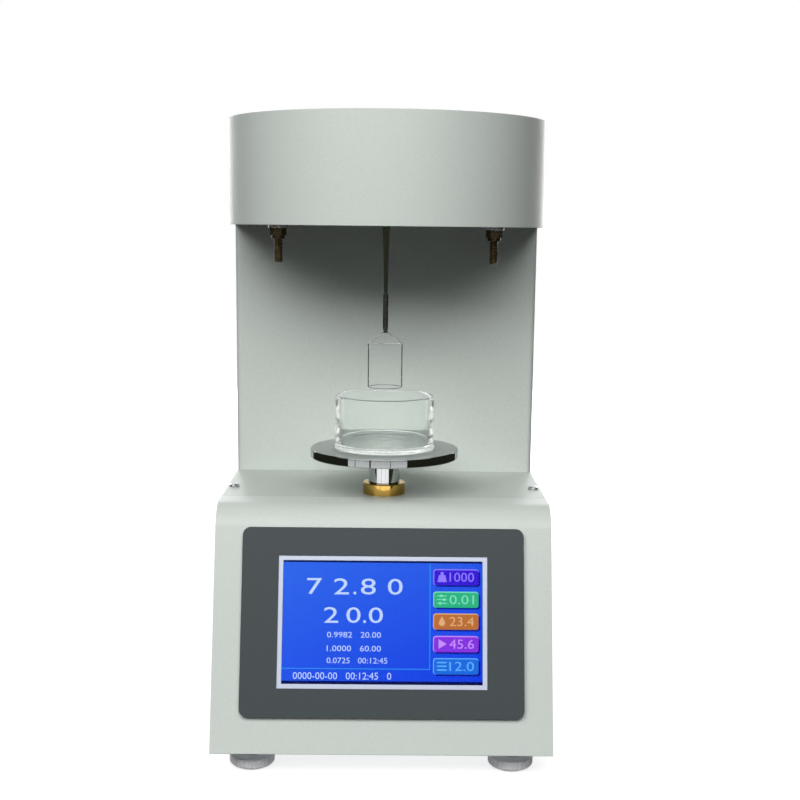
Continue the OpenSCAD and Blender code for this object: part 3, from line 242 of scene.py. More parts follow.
def rings(tree, place, spacing_mm):
    """A pattern of rings round the lift's axis, and the distance from that axis"""
    centred = add(tree, "ShaderNodeVectorMath", {0: place, 1: LIFT_AXIS}, operation="SUBTRACT")
    parts = add(tree, "ShaderNodeSeparateXYZ", {0: centred}).outputs
    flat = add(tree, "ShaderNodeCombineXYZ", {0: parts[0], 1: parts[1]})
    reach = add(tree, "ShaderNodeVectorMath", {0: flat}, operation="LENGTH").outputs["Value"]
    profile = add(tree, "ShaderNodeCombineXYZ", {0: reach, 2: parts[2]})
    return add(tree, NOISE, {"Vector": profile, "Scale": per(spacing_mm), "Detail": 2.0}), reach


print("rings run round", LIFT_AXIS)

# %% Turned metals
RIM_ROUGHNESS, RIM_EDGE_MM = 0.04, 0.2
PLATFORM_R_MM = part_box("platform")[1].x / MM


def turned(name, dark, light, low, high, spacing_mm, depth_mm, rounding_mm=0.15, rim_mm=None):
    """Metal with tool marks. Past rim_mm it is polished, and has the dark colour as a painted dark reflection
    """
    tree, shader, place = finish(name, light, low, Metallic=1.0)
    marks, reach = rings(tree, place, spacing_mm)
    shade = marks
    rough = add(tree, RANGE, {"Value": marks, **NOISE_SPAN, "To Min": low, "To Max": high})
    # the rim's dark colour is a painted dark reflection
    if rim_mm:
        rim = add(tree, MATH, {0: reach, 1: rim_mm * MM}, operation="GREATER_THAN")
        rough = add(tree, "ShaderNodeMix", {"Factor": rim, "A": rough, "B": RIM_ROUGHNESS})
        top = add(tree, MATH, {0: reach, 1: rim_mm * MM}, operation="LESS_THAN")
        shade = add(tree, MATH, {0: marks, 1: top}, operation="MULTIPLY")
    tint(tree, shader, shade, dark, light)
    roughen(tree, shader, rough)
    relief(tree, shader, marks, depth_mm, rounding_mm)


# the platform's polished rim takes the dark colour: a painted dark reflection
turned("stainless_steel", "#8B8F8F", "#D6D9D9", 0.24, 0.36, spacing_mm=0.5, depth_mm=0.004,
       rim_mm=PLATFORM_R_MM - RIM_EDGE_MM)
turned("ground_steel", "#A9ABAC", "#C6C8C9", 0.05, 0.1, spacing_mm=0.3, depth_mm=0.0004, rounding_mm=0.0)
turned("chuck_steel", "#58595A", "#6E6F70", 0.2, 0.3, spacing_mm=0.3, depth_mm=0.001, rounding_mm=0.0)
turned("brass", "#BD8E3A", "#DDB868", 0.05, 0.11, spacing_mm=0.3, depth_mm=0.0006)
turned("milled_aluminium", "#B9BBBD", "#CDCFD0", 0.3, 0.42, spacing_mm=0.8, depth_mm=0.004)
print("platform radius", round(PLATFORM_R_MM, 2), "mm")

# %% [markdown]
# ## Bronzed studs, wire and the port's shell
# The two studs under the head have a brownish film from heat or oil. The ring
# and its stirrup are drawn platinum wire, greyed by the flame that cleans it.
# The port's shell is nickel on stamped steel. A soft noise clouds all three.


# %% Films and drawn metals
def clouded(name, dark, light, low, high, cloud_mm, depth_mm):
    """A bare metal whose film or polish varies in soft clouds, duller where it is darker"""
    tree, shader, place = finish(name, light, low, Metallic=1.0)
    cloud = add(tree, NOISE, {"Vector": place, "Scale": per(cloud_mm), "Detail": 3.0})
    shade = add(tree, RANGE, {"Value": cloud, **NOISE_SPAN})
    tint(tree, shader, shade, dark, light)
    roughen(tree, shader, add(tree, RANGE, {"Value": shade, "To Min": high, "To Max": low}))
    relief(tree, shader, cloud, depth_mm)


clouded("bronzed_stud", "#4A4030", "#6E6049", 0.2, 0.32, cloud_mm=1.5, depth_mm=0.002)
clouded("platinum_wire", "#7C7E80", "#949698", 0.2, 0.3, cloud_mm=1.0, depth_mm=0.001)
clouded("port_shell", "#A9ACAF", "#C3C6C8", 0.2, 0.32, cloud_mm=3.0, depth_mm=0.002)
print("films ready")

# %% [markdown]
# ## Moulded plastics, foam and rubber
# A mould's spark-eroded wall prints a fine grain on ABS, a few tenths of a
# millimetre wide. Polished moulds, as for the rocker, leave only a slight wave.
# Foam has open cells. One noise serves all: only its size and depth differ.


# %% Moulded plastics
def moulded(name, dark, light, roughness, grain_mm, depth_mm, rounding_mm=0.3, **shader_values):
    """Plastic with the grain of its mould, glossier on the grain's crests"""
    tree, shader, place = finish(name, light, roughness, **shader_values)
    grain = add(tree, NOISE, {"Vector": place, "Scale": per(grain_mm), "Detail": 2.0, "Roughness": 0.6})
    shade = add(tree, RANGE, {"Value": grain, **NOISE_SPAN})
    tint(tree, shader, shade, dark, light)
    roughen(tree, shader, add(tree, RANGE, {
        "Value": shade, "To Min": roughness + 0.06, "To Max": roughness - 0.04}))
    relief(tree, shader, grain, depth_mm, rounding_mm)


moulded("bezel_grey", "#3C4344", "#41484A", 0.5, grain_mm=0.5, depth_mm=0.012, Specular_IOR_Level=0.18)
moulded("window_frame_pale", "#C3CBDF", "#CBD3E8", 0.35, grain_mm=0.6, depth_mm=0.004)
moulded("black_plastic", "#1C1D1E", "#252627", 0.45, grain_mm=0.4, depth_mm=0.012)
moulded("motor_black", "#1E1E20", "#2A2A2C", 0.35, grain_mm=1.2, depth_mm=0.02)
moulded("rocker_black", "#101011", "#161617", 0.14, grain_mm=4.0, depth_mm=0.01)
moulded("wheel_grey", "#E2E4E8", "#ECEDF0", 0.45, grain_mm=0.5, depth_mm=0.01)
moulded("pad_rubber", "#171717", "#222222", 0.75, grain_mm=0.6, depth_mm=0.03)
moulded("seal_foam", "#161617", "#2B2B2C", 0.9, grain_mm=0.8, depth_mm=0.15, rounding_mm=0.0)
moulded("printed_white", "#D4D4D0", "#E0E0DC", 0.5, grain_mm=0.6, depth_mm=0.002, rounding_mm=0.0)
moulded("display_panel", "#06070C", "#0A0C14", 0.3, grain_mm=1.0, depth_mm=0.002, rounding_mm=0.0)
print("plastics ready")

# %% [markdown]
# ## Circuit boards
# A board is glass fibre under green solder mask. Copper tracks lift the mask a
# little, so they show as paler lines on a grid. The mortar of a Brick texture
# stands for them: lines 0.6 mm wide in rows 2.1 mm apart.

# %% Solder mask
BOARD_UNIT_MM, TRACK_LIFT_MM = 6.0, 0.03
tree, shader, place = finish("circuit_board", "#1C5A33", 0.3)
tracks = add(tree, "ShaderNodeTexBrick", {
    "Vector": place, "Scale": per(BOARD_UNIT_MM), "Mortar Size": 0.05, "Brick Width": 1.7,
    "Row Height": 0.35}).outputs["Fac"]
tint(tree, shader, tracks, "#17502C", "#2F7A4A")
relief(tree, shader, tracks, TRACK_LIFT_MM)
print("circuit_board ready")

# %% [markdown]
# ## Glass
# The dish is clear laboratory glass with a slight wave from blowing. Its IOR is
# taken well below the real 1.47, which keeps its rim and wall as pale as in the
# photograph. The fuse is a thin tube of glass. The touch glass of a display has
# an antireflective coat: a low IOR gives the little that it still mirrors.


# %% Clear glass
def clear_glass(name, colour, ior, roughness, wave_mm, depth_mm):
    """Glass that light passes, with a long shallow wave"""
    tree, shader, place = finish(name, colour, roughness, IOR=ior, Transmission_Weight=1.0)
    wave = add(tree, NOISE, {"Vector": place, "Scale": per(wave_mm), "Detail": 1.0})
    relief(tree, shader, wave, depth_mm)


clear_glass("laboratory_glass", "#FCFEFD", ior=1.25, roughness=0.0, wave_mm=14.0, depth_mm=0.005)
clear_glass("touch_glass", "#FAFCFD", ior=1.12, roughness=0.02, wave_mm=40.0, depth_mm=0.01)
clear_glass("fuse_glass", "#F2F5F4", ior=1.5, roughness=0.02, wave_mm=6.0, depth_mm=0.01)
print("glass ready")

# %% [markdown]
# ## A finish for every solid
# The record gives each solid a material slot, and the finishes have the slots'
# names. Four solids get another one: the plate under the head is painted black
# as painted shade, the nuts are bronzed like their studs, and the rod and the
# post are ground bright.

# %% Give every solid its finish
# the head's plate is painted black as painted shade
FINISH_OF = dict(SLOT_OF, head_plate="painted_shade_black", stud_nuts="bronzed_stud",
                 hanger_rod="ground_steel", lift_post="ground_steel")
for name, solid in NODES.items():
    solid.data.materials.clear()
    solid.data.materials.append(MATERIALS[FINISH_OF[name]])
print("finished", len(NODES), "solids with", len(set(FINISH_OF.values())), "finishes")

# %% [markdown]
# ## From a node tree to a mesh
# Threads, ribs and turned profiles follow a rule, so Geometry Nodes make them.
# Modelled by hand, each ridge would be work again when a size changes. A tree's
# result is kept as a plain mesh, and the meshes of one piece are joined.

# %% Tree and mesh helpers
WELD_MM, SHARP_DEGREES = 0.005, 35


def new_tree(name, sockets):
    """A geometry tree with named inputs. Returns the tree and these inputs"""
    tree = bpy.data.node_groups.new(name, "GeometryNodeTree")
    for title, kind in sockets.items():
        tree.interface.new_socket(name=title, in_out="INPUT", socket_type=kind)
    tree.interface.new_socket(name="Geometry", in_out="OUTPUT", socket_type="NodeSocketGeometry")
    return tree, add(tree, "NodeGroupInput").outputs


def close_tree(tree, geometry, material):
    """Merges doubles, realises instances, sets the material and ends the tree"""
    merged = add(tree, "GeometryNodeMergeByDistance", {"Geometry": geometry, "Distance": WELD_MM * MM})
    real = add(tree, "GeometryNodeRealizeInstances", {"Geometry": merged})
    done = add(tree, "GeometryNodeSetMaterial", {"Geometry": real, "Material": material})
    add(tree, "NodeGroupOutput", {"Geometry": done})


def mesh_of(name, verts, faces, *materials):
    """A mesh from points and faces, with its materials"""
    mesh = bpy.data.meshes.new(name)
    mesh.from_pydata(verts, [], faces)
    for material in materials:
        mesh.materials.append(material)
    return mesh


def baked(source):
    """The mesh that an object shows once its modifiers or its text are worked out"""
    SCENE.collection.objects.link(source)
    mesh = bpy.data.meshes.new_from_object(source.evaluated_get(bpy.context.evaluated_depsgraph_get()))
    bpy.data.objects.remove(source)
    return mesh


def grown(name, tree, values):
    """Runs a tree with these input values and returns its mesh"""
    holder = bpy.data.objects.new(name, bpy.data.meshes.new(name))
    modifier = holder.modifiers.new(name, "NODES")
    modifier.node_group = tree
    for item in tree.interface.items_tree:
        if item.in_out == "INPUT":
            modifier[item.identifier] = values[item.name]
    mesh = baked(holder)
    mesh.materials.clear()
    mesh.materials.append(values["Material"])
    return mesh


def place_piece(name, meshes, body, replaced=()):
    """Joins meshes into one piece that rides on a body"""
    verts, faces, materials, owners = [], [], [], []
    for mesh in meshes:
        start = len(verts)
        verts += [tuple(v.co) for v in mesh.vertices]
        faces += [tuple(start + i for i in p.vertices) for p in mesh.polygons]
        if mesh.materials[0] not in materials:
            materials.append(mesh.materials[0])
        owners += [materials.index(mesh.materials[0])] * len(mesh.polygons)
    joined = mesh_of(name, verts, faces, *materials)
    joined.polygons.foreach_set("material_index", owners)
    joined.shade_smooth()
    joined.set_sharp_from_angle(angle=math.radians(SHARP_DEGREES))
    piece = bpy.data.objects.new(name, joined)
    SCENE.collection.objects.link(piece)
    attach(piece, body)
    if replaced:
        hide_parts(*replaced)
    print(name, "on", body, "-", len(faces), "faces")
    return piece


def box_mm(node):
    """Low corner, high corner and middle of a solid's box, in millimetres"""
    low, high = (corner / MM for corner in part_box(node))
    return low, high, (low + high) / 2


print("tree and mesh helpers ready")

# %% [markdown]
# ## A grid wrapped round an axis
# Every turned or threaded shape here starts as a flat grid. One direction
# becomes the angle round the axis, the other counts the rows of a profile. What
# differs from shape to shape is only the radius and the height of each point.


# %% Wrapped grid
def wrapped_grid(tree, segments, rows):
    """A grid with each point's turn (0 to 1) round the axis, its row, and the last row's number"""
    around = add(tree, MATH, {0: segments, 1: 1.0}, operation="ADD")
    grid = add(tree, "GeometryNodeMeshGrid", {
        "Size X": 1.0, "Size Y": 1.0, "Vertices X": around, "Vertices Y": rows})
    spot = add(tree, "ShaderNodeSeparateXYZ", {0: add(tree, "GeometryNodeInputPosition")}).outputs
    share = add(tree, MATH, {0: spot[0], 1: 0.5}, operation="ADD")
    rise = add(tree, MATH, {0: spot[1], 1: 0.5}, operation="ADD")
    last = add(tree, MATH, {0: rows, 1: 1.0}, operation="SUBTRACT")
    row = add(tree, MATH, {0: rise, 1: last}, operation="MULTIPLY")
    return grid, share, row, last


def round_axis(tree, grid, share, radius, height, foot):
    """Moves the grid's points to their radius, angle and height above the foot"""
    angle = add(tree, MATH, {0: share, 1: math.tau}, operation="MULTIPLY")
    cosine = add(tree, MATH, {0: angle}, operation="COSINE")
    sine = add(tree, MATH, {0: angle}, operation="SINE")
    across = add(tree, MATH, {0: cosine, 1: radius}, operation="MULTIPLY")
    along = add(tree, MATH, {0: sine, 1: radius}, operation="MULTIPLY")
    spot = add(tree, "ShaderNodeCombineXYZ", {0: across, 1: along, 2: height})
    there = add(tree, "ShaderNodeVectorMath", {0: spot, 1: foot}, operation="ADD")
    return add(tree, "GeometryNodeSetPosition", {"Geometry": grid, "Position": there})


print("wrapped grid ready")

# %% [markdown]
# ## Threads
# The balance hangs from two studs whose lower ends show under the head, and the
# instrument stands on four more. A thread is a ridge that climbs one pitch a
# turn. For each point of the grid, height over pitch less the angle tells how
# far it is up the ridge. The ends are chamfered.

# %% Tree: threaded rod
ROWS_A_PITCH, THREAD_DEPTH = 8, 0.58  # the depth as a share of the pitch
FLANK_GAIN, FLANK_SHIFT = 1.35, -0.175  # steep flanks, cut off to flats at crest and root
END_SHARE = 0.94  # radius of the rod's ends, as a share of the root's radius

tree, given = new_tree("threaded_rod", {
    "Root Radius": "NodeSocketFloat", "Crest Radius": "NodeSocketFloat", "Pitch": "NodeSocketFloat",
    "Length": "NodeSocketFloat", "Foot": "NodeSocketVector", "Rows": "NodeSocketInt",
    "Segments": "NodeSocketInt", "Material": "NodeSocketMaterial"})
root, crest, length = given["Root Radius"], given["Crest Radius"], given["Length"]
grid, share, row, last = wrapped_grid(tree, given["Segments"], given["Rows"])
upper_row = add(tree, MATH, {0: last, 1: 1.0}, operation="SUBTRACT")
climb = add(tree, RANGE, {"Value": row, "From Min": 1.0, "From Max": upper_row, "To Max": length})
print("rows climb")

# %% The ridge
turns = add(tree, MATH, {0: climb, 1: given["Pitch"]}, operation="DIVIDE")
behind = add(tree, MATH, {0: turns, 1: share}, operation="SUBTRACT")
phase = add(tree, MATH, {0: behind}, operation="FRACT")
doubled = add(tree, MATH, {0: phase, 1: 2.0}, operation="MULTIPLY")
swing = add(tree, MATH, {0: doubled, 1: 1.0}, operation="SUBTRACT")
ridge = add(tree, MATH, {0: swing}, operation="ABSOLUTE")
slope = {0: ridge, 1: FLANK_GAIN, 2: FLANK_SHIFT}
flank = add(tree, MATH, slope, operation="MULTIPLY_ADD", use_clamp=True)
depth = add(tree, MATH, {0: crest, 1: root}, operation="SUBTRACT")
threaded = add(tree, MATH, {0: flank, 1: depth, 2: root}, operation="MULTIPLY_ADD")
print("ridge ready")

# %% Chamfers and closed ends
to_top = add(tree, MATH, {0: length, 1: climb}, operation="SUBTRACT")
to_end = add(tree, MATH, {0: climb, 1: to_top}, operation="MINIMUM")
end_radius = add(tree, MATH, {0: root, 1: END_SHARE}, operation="MULTIPLY")
chamfered = add(tree, MATH, {0: to_end, 1: end_radius}, operation="ADD")
outer = add(tree, MATH, {0: threaded, 1: chamfered}, operation="MINIMUM")
after_first = add(tree, MATH, {0: row, 1: 0.5}, operation="GREATER_THAN")
tip = add(tree, MATH, {0: last, 1: 0.5}, operation="SUBTRACT")
before_last = add(tree, MATH, {0: row, 1: tip}, operation="LESS_THAN")
inside = add(tree, MATH, {0: after_first, 1: before_last}, operation="MULTIPLY")
radius = add(tree, MATH, {0: outer, 1: inside}, operation="MULTIPLY")
close_tree(tree, round_axis(tree, grid, share, radius, climb, given["Foot"]), given["Material"])
print("threaded_rod tree:", len(tree.nodes), "nodes")
rod_tree = tree


# %% A rod of any size
def rod(name, foot, length, crest, pitch, segments, material):
    """One threaded rod, its sizes in millimetres"""
    return grown(name, rod_tree, {
        "Root Radius": (crest - THREAD_DEPTH * pitch) * MM, "Crest Radius": crest * MM,
        "Pitch": pitch * MM, "Length": length * MM, "Foot": Vector(foot) * MM,
        "Rows": round(length / pitch * ROWS_A_PITCH) + 3, "Segments": segments,
        "Material": MATERIALS[material]})


print("rods ready")

# %% [markdown]
# ## Balance studs
# Two M5 studs carry the balance, and their threads can be seen below their nuts.
# A bump would not change their outline, so their ridges are real.

# %% Balance studs
STUD_R, STUD_PITCH = 2.5, 0.8
low, high, middle = box_mm("balance_studs")
studs = [rod("balance_stud", (side * (high.x - STUD_R), middle.y, low.z), high.z - low.z,
             STUD_R, STUD_PITCH, segments=48, material="bronzed_stud") for side in (-1, 1)]
place_piece("threaded_balance_studs", studs, "chassis", replaced=["balance_studs"])

# %% [markdown]
# ## Round pieces from a profile
# Thumbwheels and dish are shapes that turn round an axis. Their profile is a
# short list of points, and an Index Switch picks the point that belongs to the
# row. Ribs are a cosine round the axis that acts on the rows of the grip alone.


# %% Tree: turned shape
def lathe(name, profile):
    """A tree that turns a profile. Each point: radius, height and share of the ribs' depth, in mm"""
    tree, given = new_tree(name, {
        "Ribs": "NodeSocketFloat", "Rib Depth": "NodeSocketFloat", "Foot": "NodeSocketVector",
        "Segments": "NodeSocketInt", "Material": "NodeSocketMaterial"})
    grid, share, row = wrapped_grid(tree, given["Segments"], len(profile))[:3]
    step = add(tree, MATH, {0: row}, operation="ROUND")
    chosen = []
    for column, unit in enumerate((MM, MM, 1.0)):
        switch = add(tree, "GeometryNodeIndexSwitch", data_type="FLOAT")
        while len(switch.index_switch_items) < len(profile):
            switch.index_switch_items.new()
        tree.links.new(step.outputs[0], switch.inputs["Index"])
        for number, point in enumerate(profile):
            switch.inputs[number + 1].default_value = point[column] * unit
        chosen.append(switch)
    turns = add(tree, MATH, {0: given["Ribs"], 1: math.tau}, operation="MULTIPLY")
    angle = add(tree, MATH, {0: share, 1: turns}, operation="MULTIPLY")
    wave = add(tree, MATH, {0: angle}, operation="COSINE")
    half = add(tree, MATH, {0: wave, 1: 0.5, 2: 0.5}, operation="MULTIPLY_ADD")
    groove = add(tree, MATH, {0: half, 1: 2.0}, operation="POWER")
    here = add(tree, MATH, {0: groove, 1: chosen[2]}, operation="MULTIPLY")
    cut = add(tree, MATH, {0: here, 1: given["Rib Depth"]}, operation="MULTIPLY")
    radius = add(tree, MATH, {0: chosen[0], 1: cut}, operation="SUBTRACT")
    close_tree(tree, round_axis(tree, grid, share, radius, chosen[1], given["Foot"]), given["Material"])
    print(name, "tree:", len(tree.nodes), "nodes")
    return tree


def arc(x, z, r, start, end, steps=8):
    """Profile points along an arc, without ribs"""
    angles = [math.radians(start + (end - start) * i / steps) for i in range(steps + 1)]
    return [(x + r * math.cos(a), z + r * math.sin(a), 0) for a in angles]


print("lathe ready")

# %% [markdown]
# ## Glass dish
# The dish has a straight wall with a fire-polished round rim, and a thick floor
# that ends in a wider round foot. It stands a hair above the platform: where
# glass and metal share a plane, the light between them is lost. Light also runs
# round inside the wall, so its path is given more bounces than usual.

# %% Dish
DISH_WALL, DISH_FLOOR, DISH_FILLET, DISH_GAP = 2.5, 3.0, 0.9, 0.06
low, high, middle = box_mm("sample_dish")
foot_r, rim_r = DISH_FLOOR / 2, DISH_WALL / 2
outer_r = (high.x - low.x) / 2 - foot_r
inner_r = outer_r - DISH_WALL
dish_h = high.z - low.z
dish_tree = lathe("glass_dish", [
    (0, DISH_GAP, 0), *arc(outer_r, foot_r + DISH_GAP / 2, foot_r - DISH_GAP / 2, -90, 90),
    *arc(outer_r - rim_r, dish_h - rim_r, rim_r, 0, 180), (inner_r, DISH_FLOOR + DISH_FILLET, 0),
    (inner_r - 0.25, DISH_FLOOR + 0.25, 0), (inner_r - DISH_FILLET, DISH_FLOOR, 0), (0, DISH_FLOOR, 0)])
dish = grown("glass_dish", dish_tree, {
    "Ribs": 0.0, "Rib Depth": 0.0, "Foot": Vector((middle.x, middle.y, low.z)) * MM, "Segments": 144,
    "Material": MATERIALS["laboratory_glass"]})
dish_piece = place_piece("glass_dish", [dish], "dish", replaced=["sample_dish"])
dish_piece.visible_shadow = False  # clear glass lets the lamp's light reach the platform
SCENE.cycles.max_bounces = SCENE.cycles.transmission_bounces = 24
SCENE.cycles.glossy_bounces = 16

# %% [markdown]
# ## Thumbwheels
# Each foot is a moulded wheel on a threaded steel stud, turned by hand to level
# the instrument. A recess under the wheel holds the rubber pad, and round grooves
# make the grip. The profile is drawn from the wheel's radius, foot and top.

# %% Wheel profile
WHEEL_R, WHEEL_FOOT, WHEEL_TOP = 12.5, 1.0, 7.0
PAD_R, PAD_TOP, HOLLOW_R, HOLLOW_FLOOR = 9.3, 3.0, 6.4, 6.5
RIBS, RIB_DEPTH, POINTS_A_RIB = 30, 0.55, 8
wheel_tree = lathe("thumbwheel", [
    (0, PAD_TOP, 0), (PAD_R, PAD_TOP, 0), (PAD_R, WHEEL_FOOT + 0.3, 0), (PAD_R + 0.2, WHEEL_FOOT, 0),
    (WHEEL_R - 1.6, WHEEL_FOOT, 0), (WHEEL_R - 1.3, WHEEL_FOOT + 0.1, 0),
    (WHEEL_R - 0.3, WHEEL_FOOT + 1.1, 0), (WHEEL_R - 0.05, WHEEL_FOOT + 1.5, 0.4),
    (WHEEL_R, WHEEL_FOOT + 1.7, 1), (WHEEL_R, WHEEL_TOP - 1.1, 1), (WHEEL_R - 0.05, WHEEL_TOP - 0.85, 0.6),
    (WHEEL_R - 0.4, WHEEL_TOP - 0.4, 0), (WHEEL_R - 0.8, WHEEL_TOP - 0.15, 0), (WHEEL_R - 1.3, WHEEL_TOP, 0),
    (HOLLOW_R + 0.8, WHEEL_TOP, 0), (HOLLOW_R + 0.4, WHEEL_TOP - 0.1, 0), (HOLLOW_R, HOLLOW_FLOOR, 0),
    (0, HOLLOW_FLOOR, 0)])

# %% Four feet
LEVEL_R, LEVEL_PITCH = 4.0, 1.25
STUD_FOOT = HOLLOW_FLOOR - 0.3
for corner in ("fl", "fr", "rl", "rr"):
    high, middle = box_mm("wheel_" + corner)[1:]
    wheel = grown("wheel", wheel_tree, {
        "Ribs": float(RIBS), "Rib Depth": RIB_DEPTH * MM, "Foot": Vector((middle.x, middle.y, 0)) * MM,
        "Segments": RIBS * POINTS_A_RIB, "Material": MATERIALS["wheel_grey"]})
    stud = rod("stud", (middle.x, middle.y, STUD_FOOT), high.z - STUD_FOOT, LEVEL_R, LEVEL_PITCH,
               segments=56, material="zinc_fastener")
    for title, mesh, slot in (("thumbwheel_", wheel, "wheel_grey"),
                              ("levelling_stud_", stud, "zinc_fastener")):
        place_piece(title + corner, [mesh], "wheel_body_" + corner, replaced=["wheel_" + corner])

# %% [markdown]
# ## The lit screen
# A liquid crystal display glows by its own backlight, so its picture is made of
# thin shapes that emit their colour, under a cover glass. A picture file would
# do it too, but shapes stay sharp at any distance. The place of each shape is
# given in millimetres from the middle of the picture, x to the right and z up
# the slope.

# %% Where the screen lies
BASE_FOOT, FRONT, BEND_BACK, BEND_UP, BEND_R = 16.0, -125.0, 55.0, 111.5, 16.0
SLOPE = math.atan2(BEND_BACK, BEND_UP) - math.asin(BEND_R / math.hypot(BEND_BACK, BEND_UP))
MIDDLE_UP = 71.0
HALF_W, HALF_H = 54.5, 33.5


def on_screen(x, z, depth):
    """World place of a point: x and z from the middle of the picture, depth behind the front sheet"""
    z += MIDDLE_UP
    return Vector((x, FRONT + depth * math.cos(SLOPE) + z * math.sin(SLOPE),
                   BASE_FOOT - depth * math.sin(SLOPE) + z * math.cos(SLOPE))) * MM


TOP_EDGE, LOWER_EDGE = on_screen(0, HALF_H, 0).z, on_screen(0, -HALF_H, 0).z
print("slope", round(math.degrees(SLOPE), 2), "picture from", round(LOWER_EDGE, 4), "to", round(TOP_EDGE, 4))


# %% Thin shapes
def plates(outlines, depth, thickness, material):
    """Thin plates in the screen's plane, from outlines that run anticlockwise"""
    verts, faces = [], []
    for outline in outlines:
        start, n = len(verts), len(outline)
        for skin in (depth, depth + thickness):
            verts += [on_screen(x, z, skin) for x, z in outline]
        faces.append(tuple(range(start, start + n)))
        faces.append(tuple(reversed(range(start + n, start + 2 * n))))
        faces += [(start + i, start + n + i, start + n + (i + 1) % n, start + (i + 1) % n) for i in range(n)]
    return mesh_of("plates", verts, faces, MATERIALS[material])


def rectangle(x0, z0, x1, z1):
    """Its four corners, anticlockwise"""
    return [(x0, z0), (x1, z0), (x1, z1), (x0, z1)]


def rounded(x, z, w, h, r, steps=5):
    """A rectangle with round corners, round its middle"""
    points = []
    for cx, cz, start in ((1, -1, -90), (1, 1, 0), (-1, 1, 90), (-1, -1, 180)):
        for i in range(steps + 1):
            a = math.radians(start + 90 * i / steps)
            points.append((x + cx * (w / 2 - r) + r * math.cos(a), z + cz * (h / 2 - r) + r * math.sin(a)))
    return points


print("thin shapes ready")

# %% [markdown]
# ## Screen colours
# Each colour of the picture is light, not paint: the shader's base is black and
# its emission carries the colour at strength 1, which shows as it is written.
# Across and down the picture, the first colour runs to the second.

# %% Lit colours
CELL_MM, CELL_CONTRAST, RUN_ACROSS, RUN_DOWN = 0.8, 0.12, 0.45, 0.55


def lit(name, colour, second):
    """A backlit colour that runs to a second one across the picture"""
    tree, shader, place = finish(name, "#000000", 0.6, Specular_IOR_Level=0.0, Emission_Strength=1.0)
    cell = add(tree, NOISE, {"Vector": place, "Scale": per(CELL_MM), "Detail": 1.0})
    parts = add(tree, "ShaderNodeSeparateXYZ", {0: place}).outputs
    across = add(tree, RANGE, {
        "Value": parts[0], "From Min": -HALF_W * MM, "From Max": HALF_W * MM, "To Max": RUN_ACROSS})
    down = add(tree, RANGE, {
        "Value": parts[2], "From Min": TOP_EDGE, "From Max": LOWER_EDGE, "To Max": RUN_DOWN})
    slant = add(tree, MATH, {0: across, 1: down}, operation="ADD")
    uneven = add(tree, MATH, {0: cell, 1: CELL_CONTRAST, 2: -CELL_CONTRAST / 2}, operation="MULTIPLY_ADD")
    run = add(tree, MATH, {0: slant, 1: uneven}, operation="ADD", use_clamp=True)
    tint(tree, shader, run, colour, second, "Emission Color")


for name, colour, second in (
        ("screen_blue", "#2F67EC", "#0A3AE6"), ("screen_navy", "#03145C", "#02084A"),
        ("screen_cyan", "#3A9CF4", "#2C90F0"), ("screen_shadow", "#0C1C9C", "#08128E"),
        ("screen_white", "#C6DCFF", "#BAD2FF"),
        ("violet_key", "#3A20E0", "#3310D2"), ("violet_light", "#9A86FF", "#8E78FA"),
        ("green_key", "#2FBE8E", "#2AAE78"), ("green_light", "#86E8C8", "#78DCB4"),
        ("orange_key", "#C87A3E", "#B86A30"), ("orange_light", "#EBB98C", "#E0A874"),
        ("magenta_key", "#8E3CEC", "#8430E0"), ("magenta_light", "#D49CFF", "#C88CFA"),
        ("blue_key", "#1F74EE", "#1A68E0"), ("blue_light", "#6CC0FF", "#5CB0FA")):
    lit(name, colour, second)
print(len(MATERIALS), "materials")

# %% [markdown]
# ## Background
# The picture's ground is one blue sheet with a dark band along its top and its
# foot. Two pale lines part the readings from the buttons and from the clock.
# The shapes lie in layers, so that those that overlap share no plane.

# %% Background and lines
GROUND_DEPTH, BAND_DEPTH, SHEET = 0.25, 0.20, 0.03
TOP_BAND, FOOT_BAND = 0.9, 1.7
RULE_X, RULE_Z, RULE_W = 25.6, -24.9, 0.45
background = plates([rectangle(-HALF_W, -HALF_H, HALF_W, HALF_H)], GROUND_DEPTH, SHEET, "screen_blue")
bands = plates([rectangle(-HALF_W, HALF_H - TOP_BAND, HALF_W, HALF_H),
                rectangle(-HALF_W, -HALF_H, HALF_W, -HALF_H + FOOT_BAND)], BAND_DEPTH, SHEET, "screen_navy")
rules = [rectangle(RULE_X, RULE_Z, RULE_X + RULE_W, HALF_H - TOP_BAND),
         rectangle(-HALF_W, RULE_Z - RULE_W, RULE_X + RULE_W, RULE_Z)]
lines = plates(rules, BAND_DEPTH, SHEET, "screen_cyan")
place_piece("screen_background", [background, bands, lines], "chassis")

# %% [markdown]
# ## Buttons
# Five touch buttons stand in a column. A drawn button looks raised by a dark
# shape that falls below it to the right and by a lighter edge along its top and
# left. So each one is three plates, one over the other, slightly shifted.

# %% Buttons
BUTTONS = {"violet": 25.0, "green": 12.7, "orange": 0.8, "magenta": -11.4, "blue": -23.4}  # heights
BUTTON_X, BUTTON_W, BUTTON_H, BUTTON_R, KEY_R = 40.0, 24.8, 8.8, 1.6, 1.4
SHADOW_DEPTH, LIGHT_DEPTH, KEY_DEPTH, FOIL = 0.20, 0.17, 0.14, 0.02
FALL, EDGE_X, EDGE_Z = 0.9, 0.25, 0.3
buttons = []
for colour, z in BUTTONS.items():
    shadow = rounded(BUTTON_X + FALL, z - FALL, BUTTON_W, BUTTON_H, BUTTON_R)
    light = rounded(BUTTON_X, z, BUTTON_W, BUTTON_H, BUTTON_R)
    key = rounded(BUTTON_X + EDGE_X, z - EDGE_Z, BUTTON_W - 2 * EDGE_X, BUTTON_H - 2 * EDGE_Z, KEY_R)
    buttons += [plates([shadow], SHADOW_DEPTH, FOIL, "screen_shadow"),
                plates([light], LIGHT_DEPTH, FOIL, colour + "_light"),
                plates([key], KEY_DEPTH, FOIL, colour + "_key")]
place_piece("screen_buttons", buttons, "chassis")

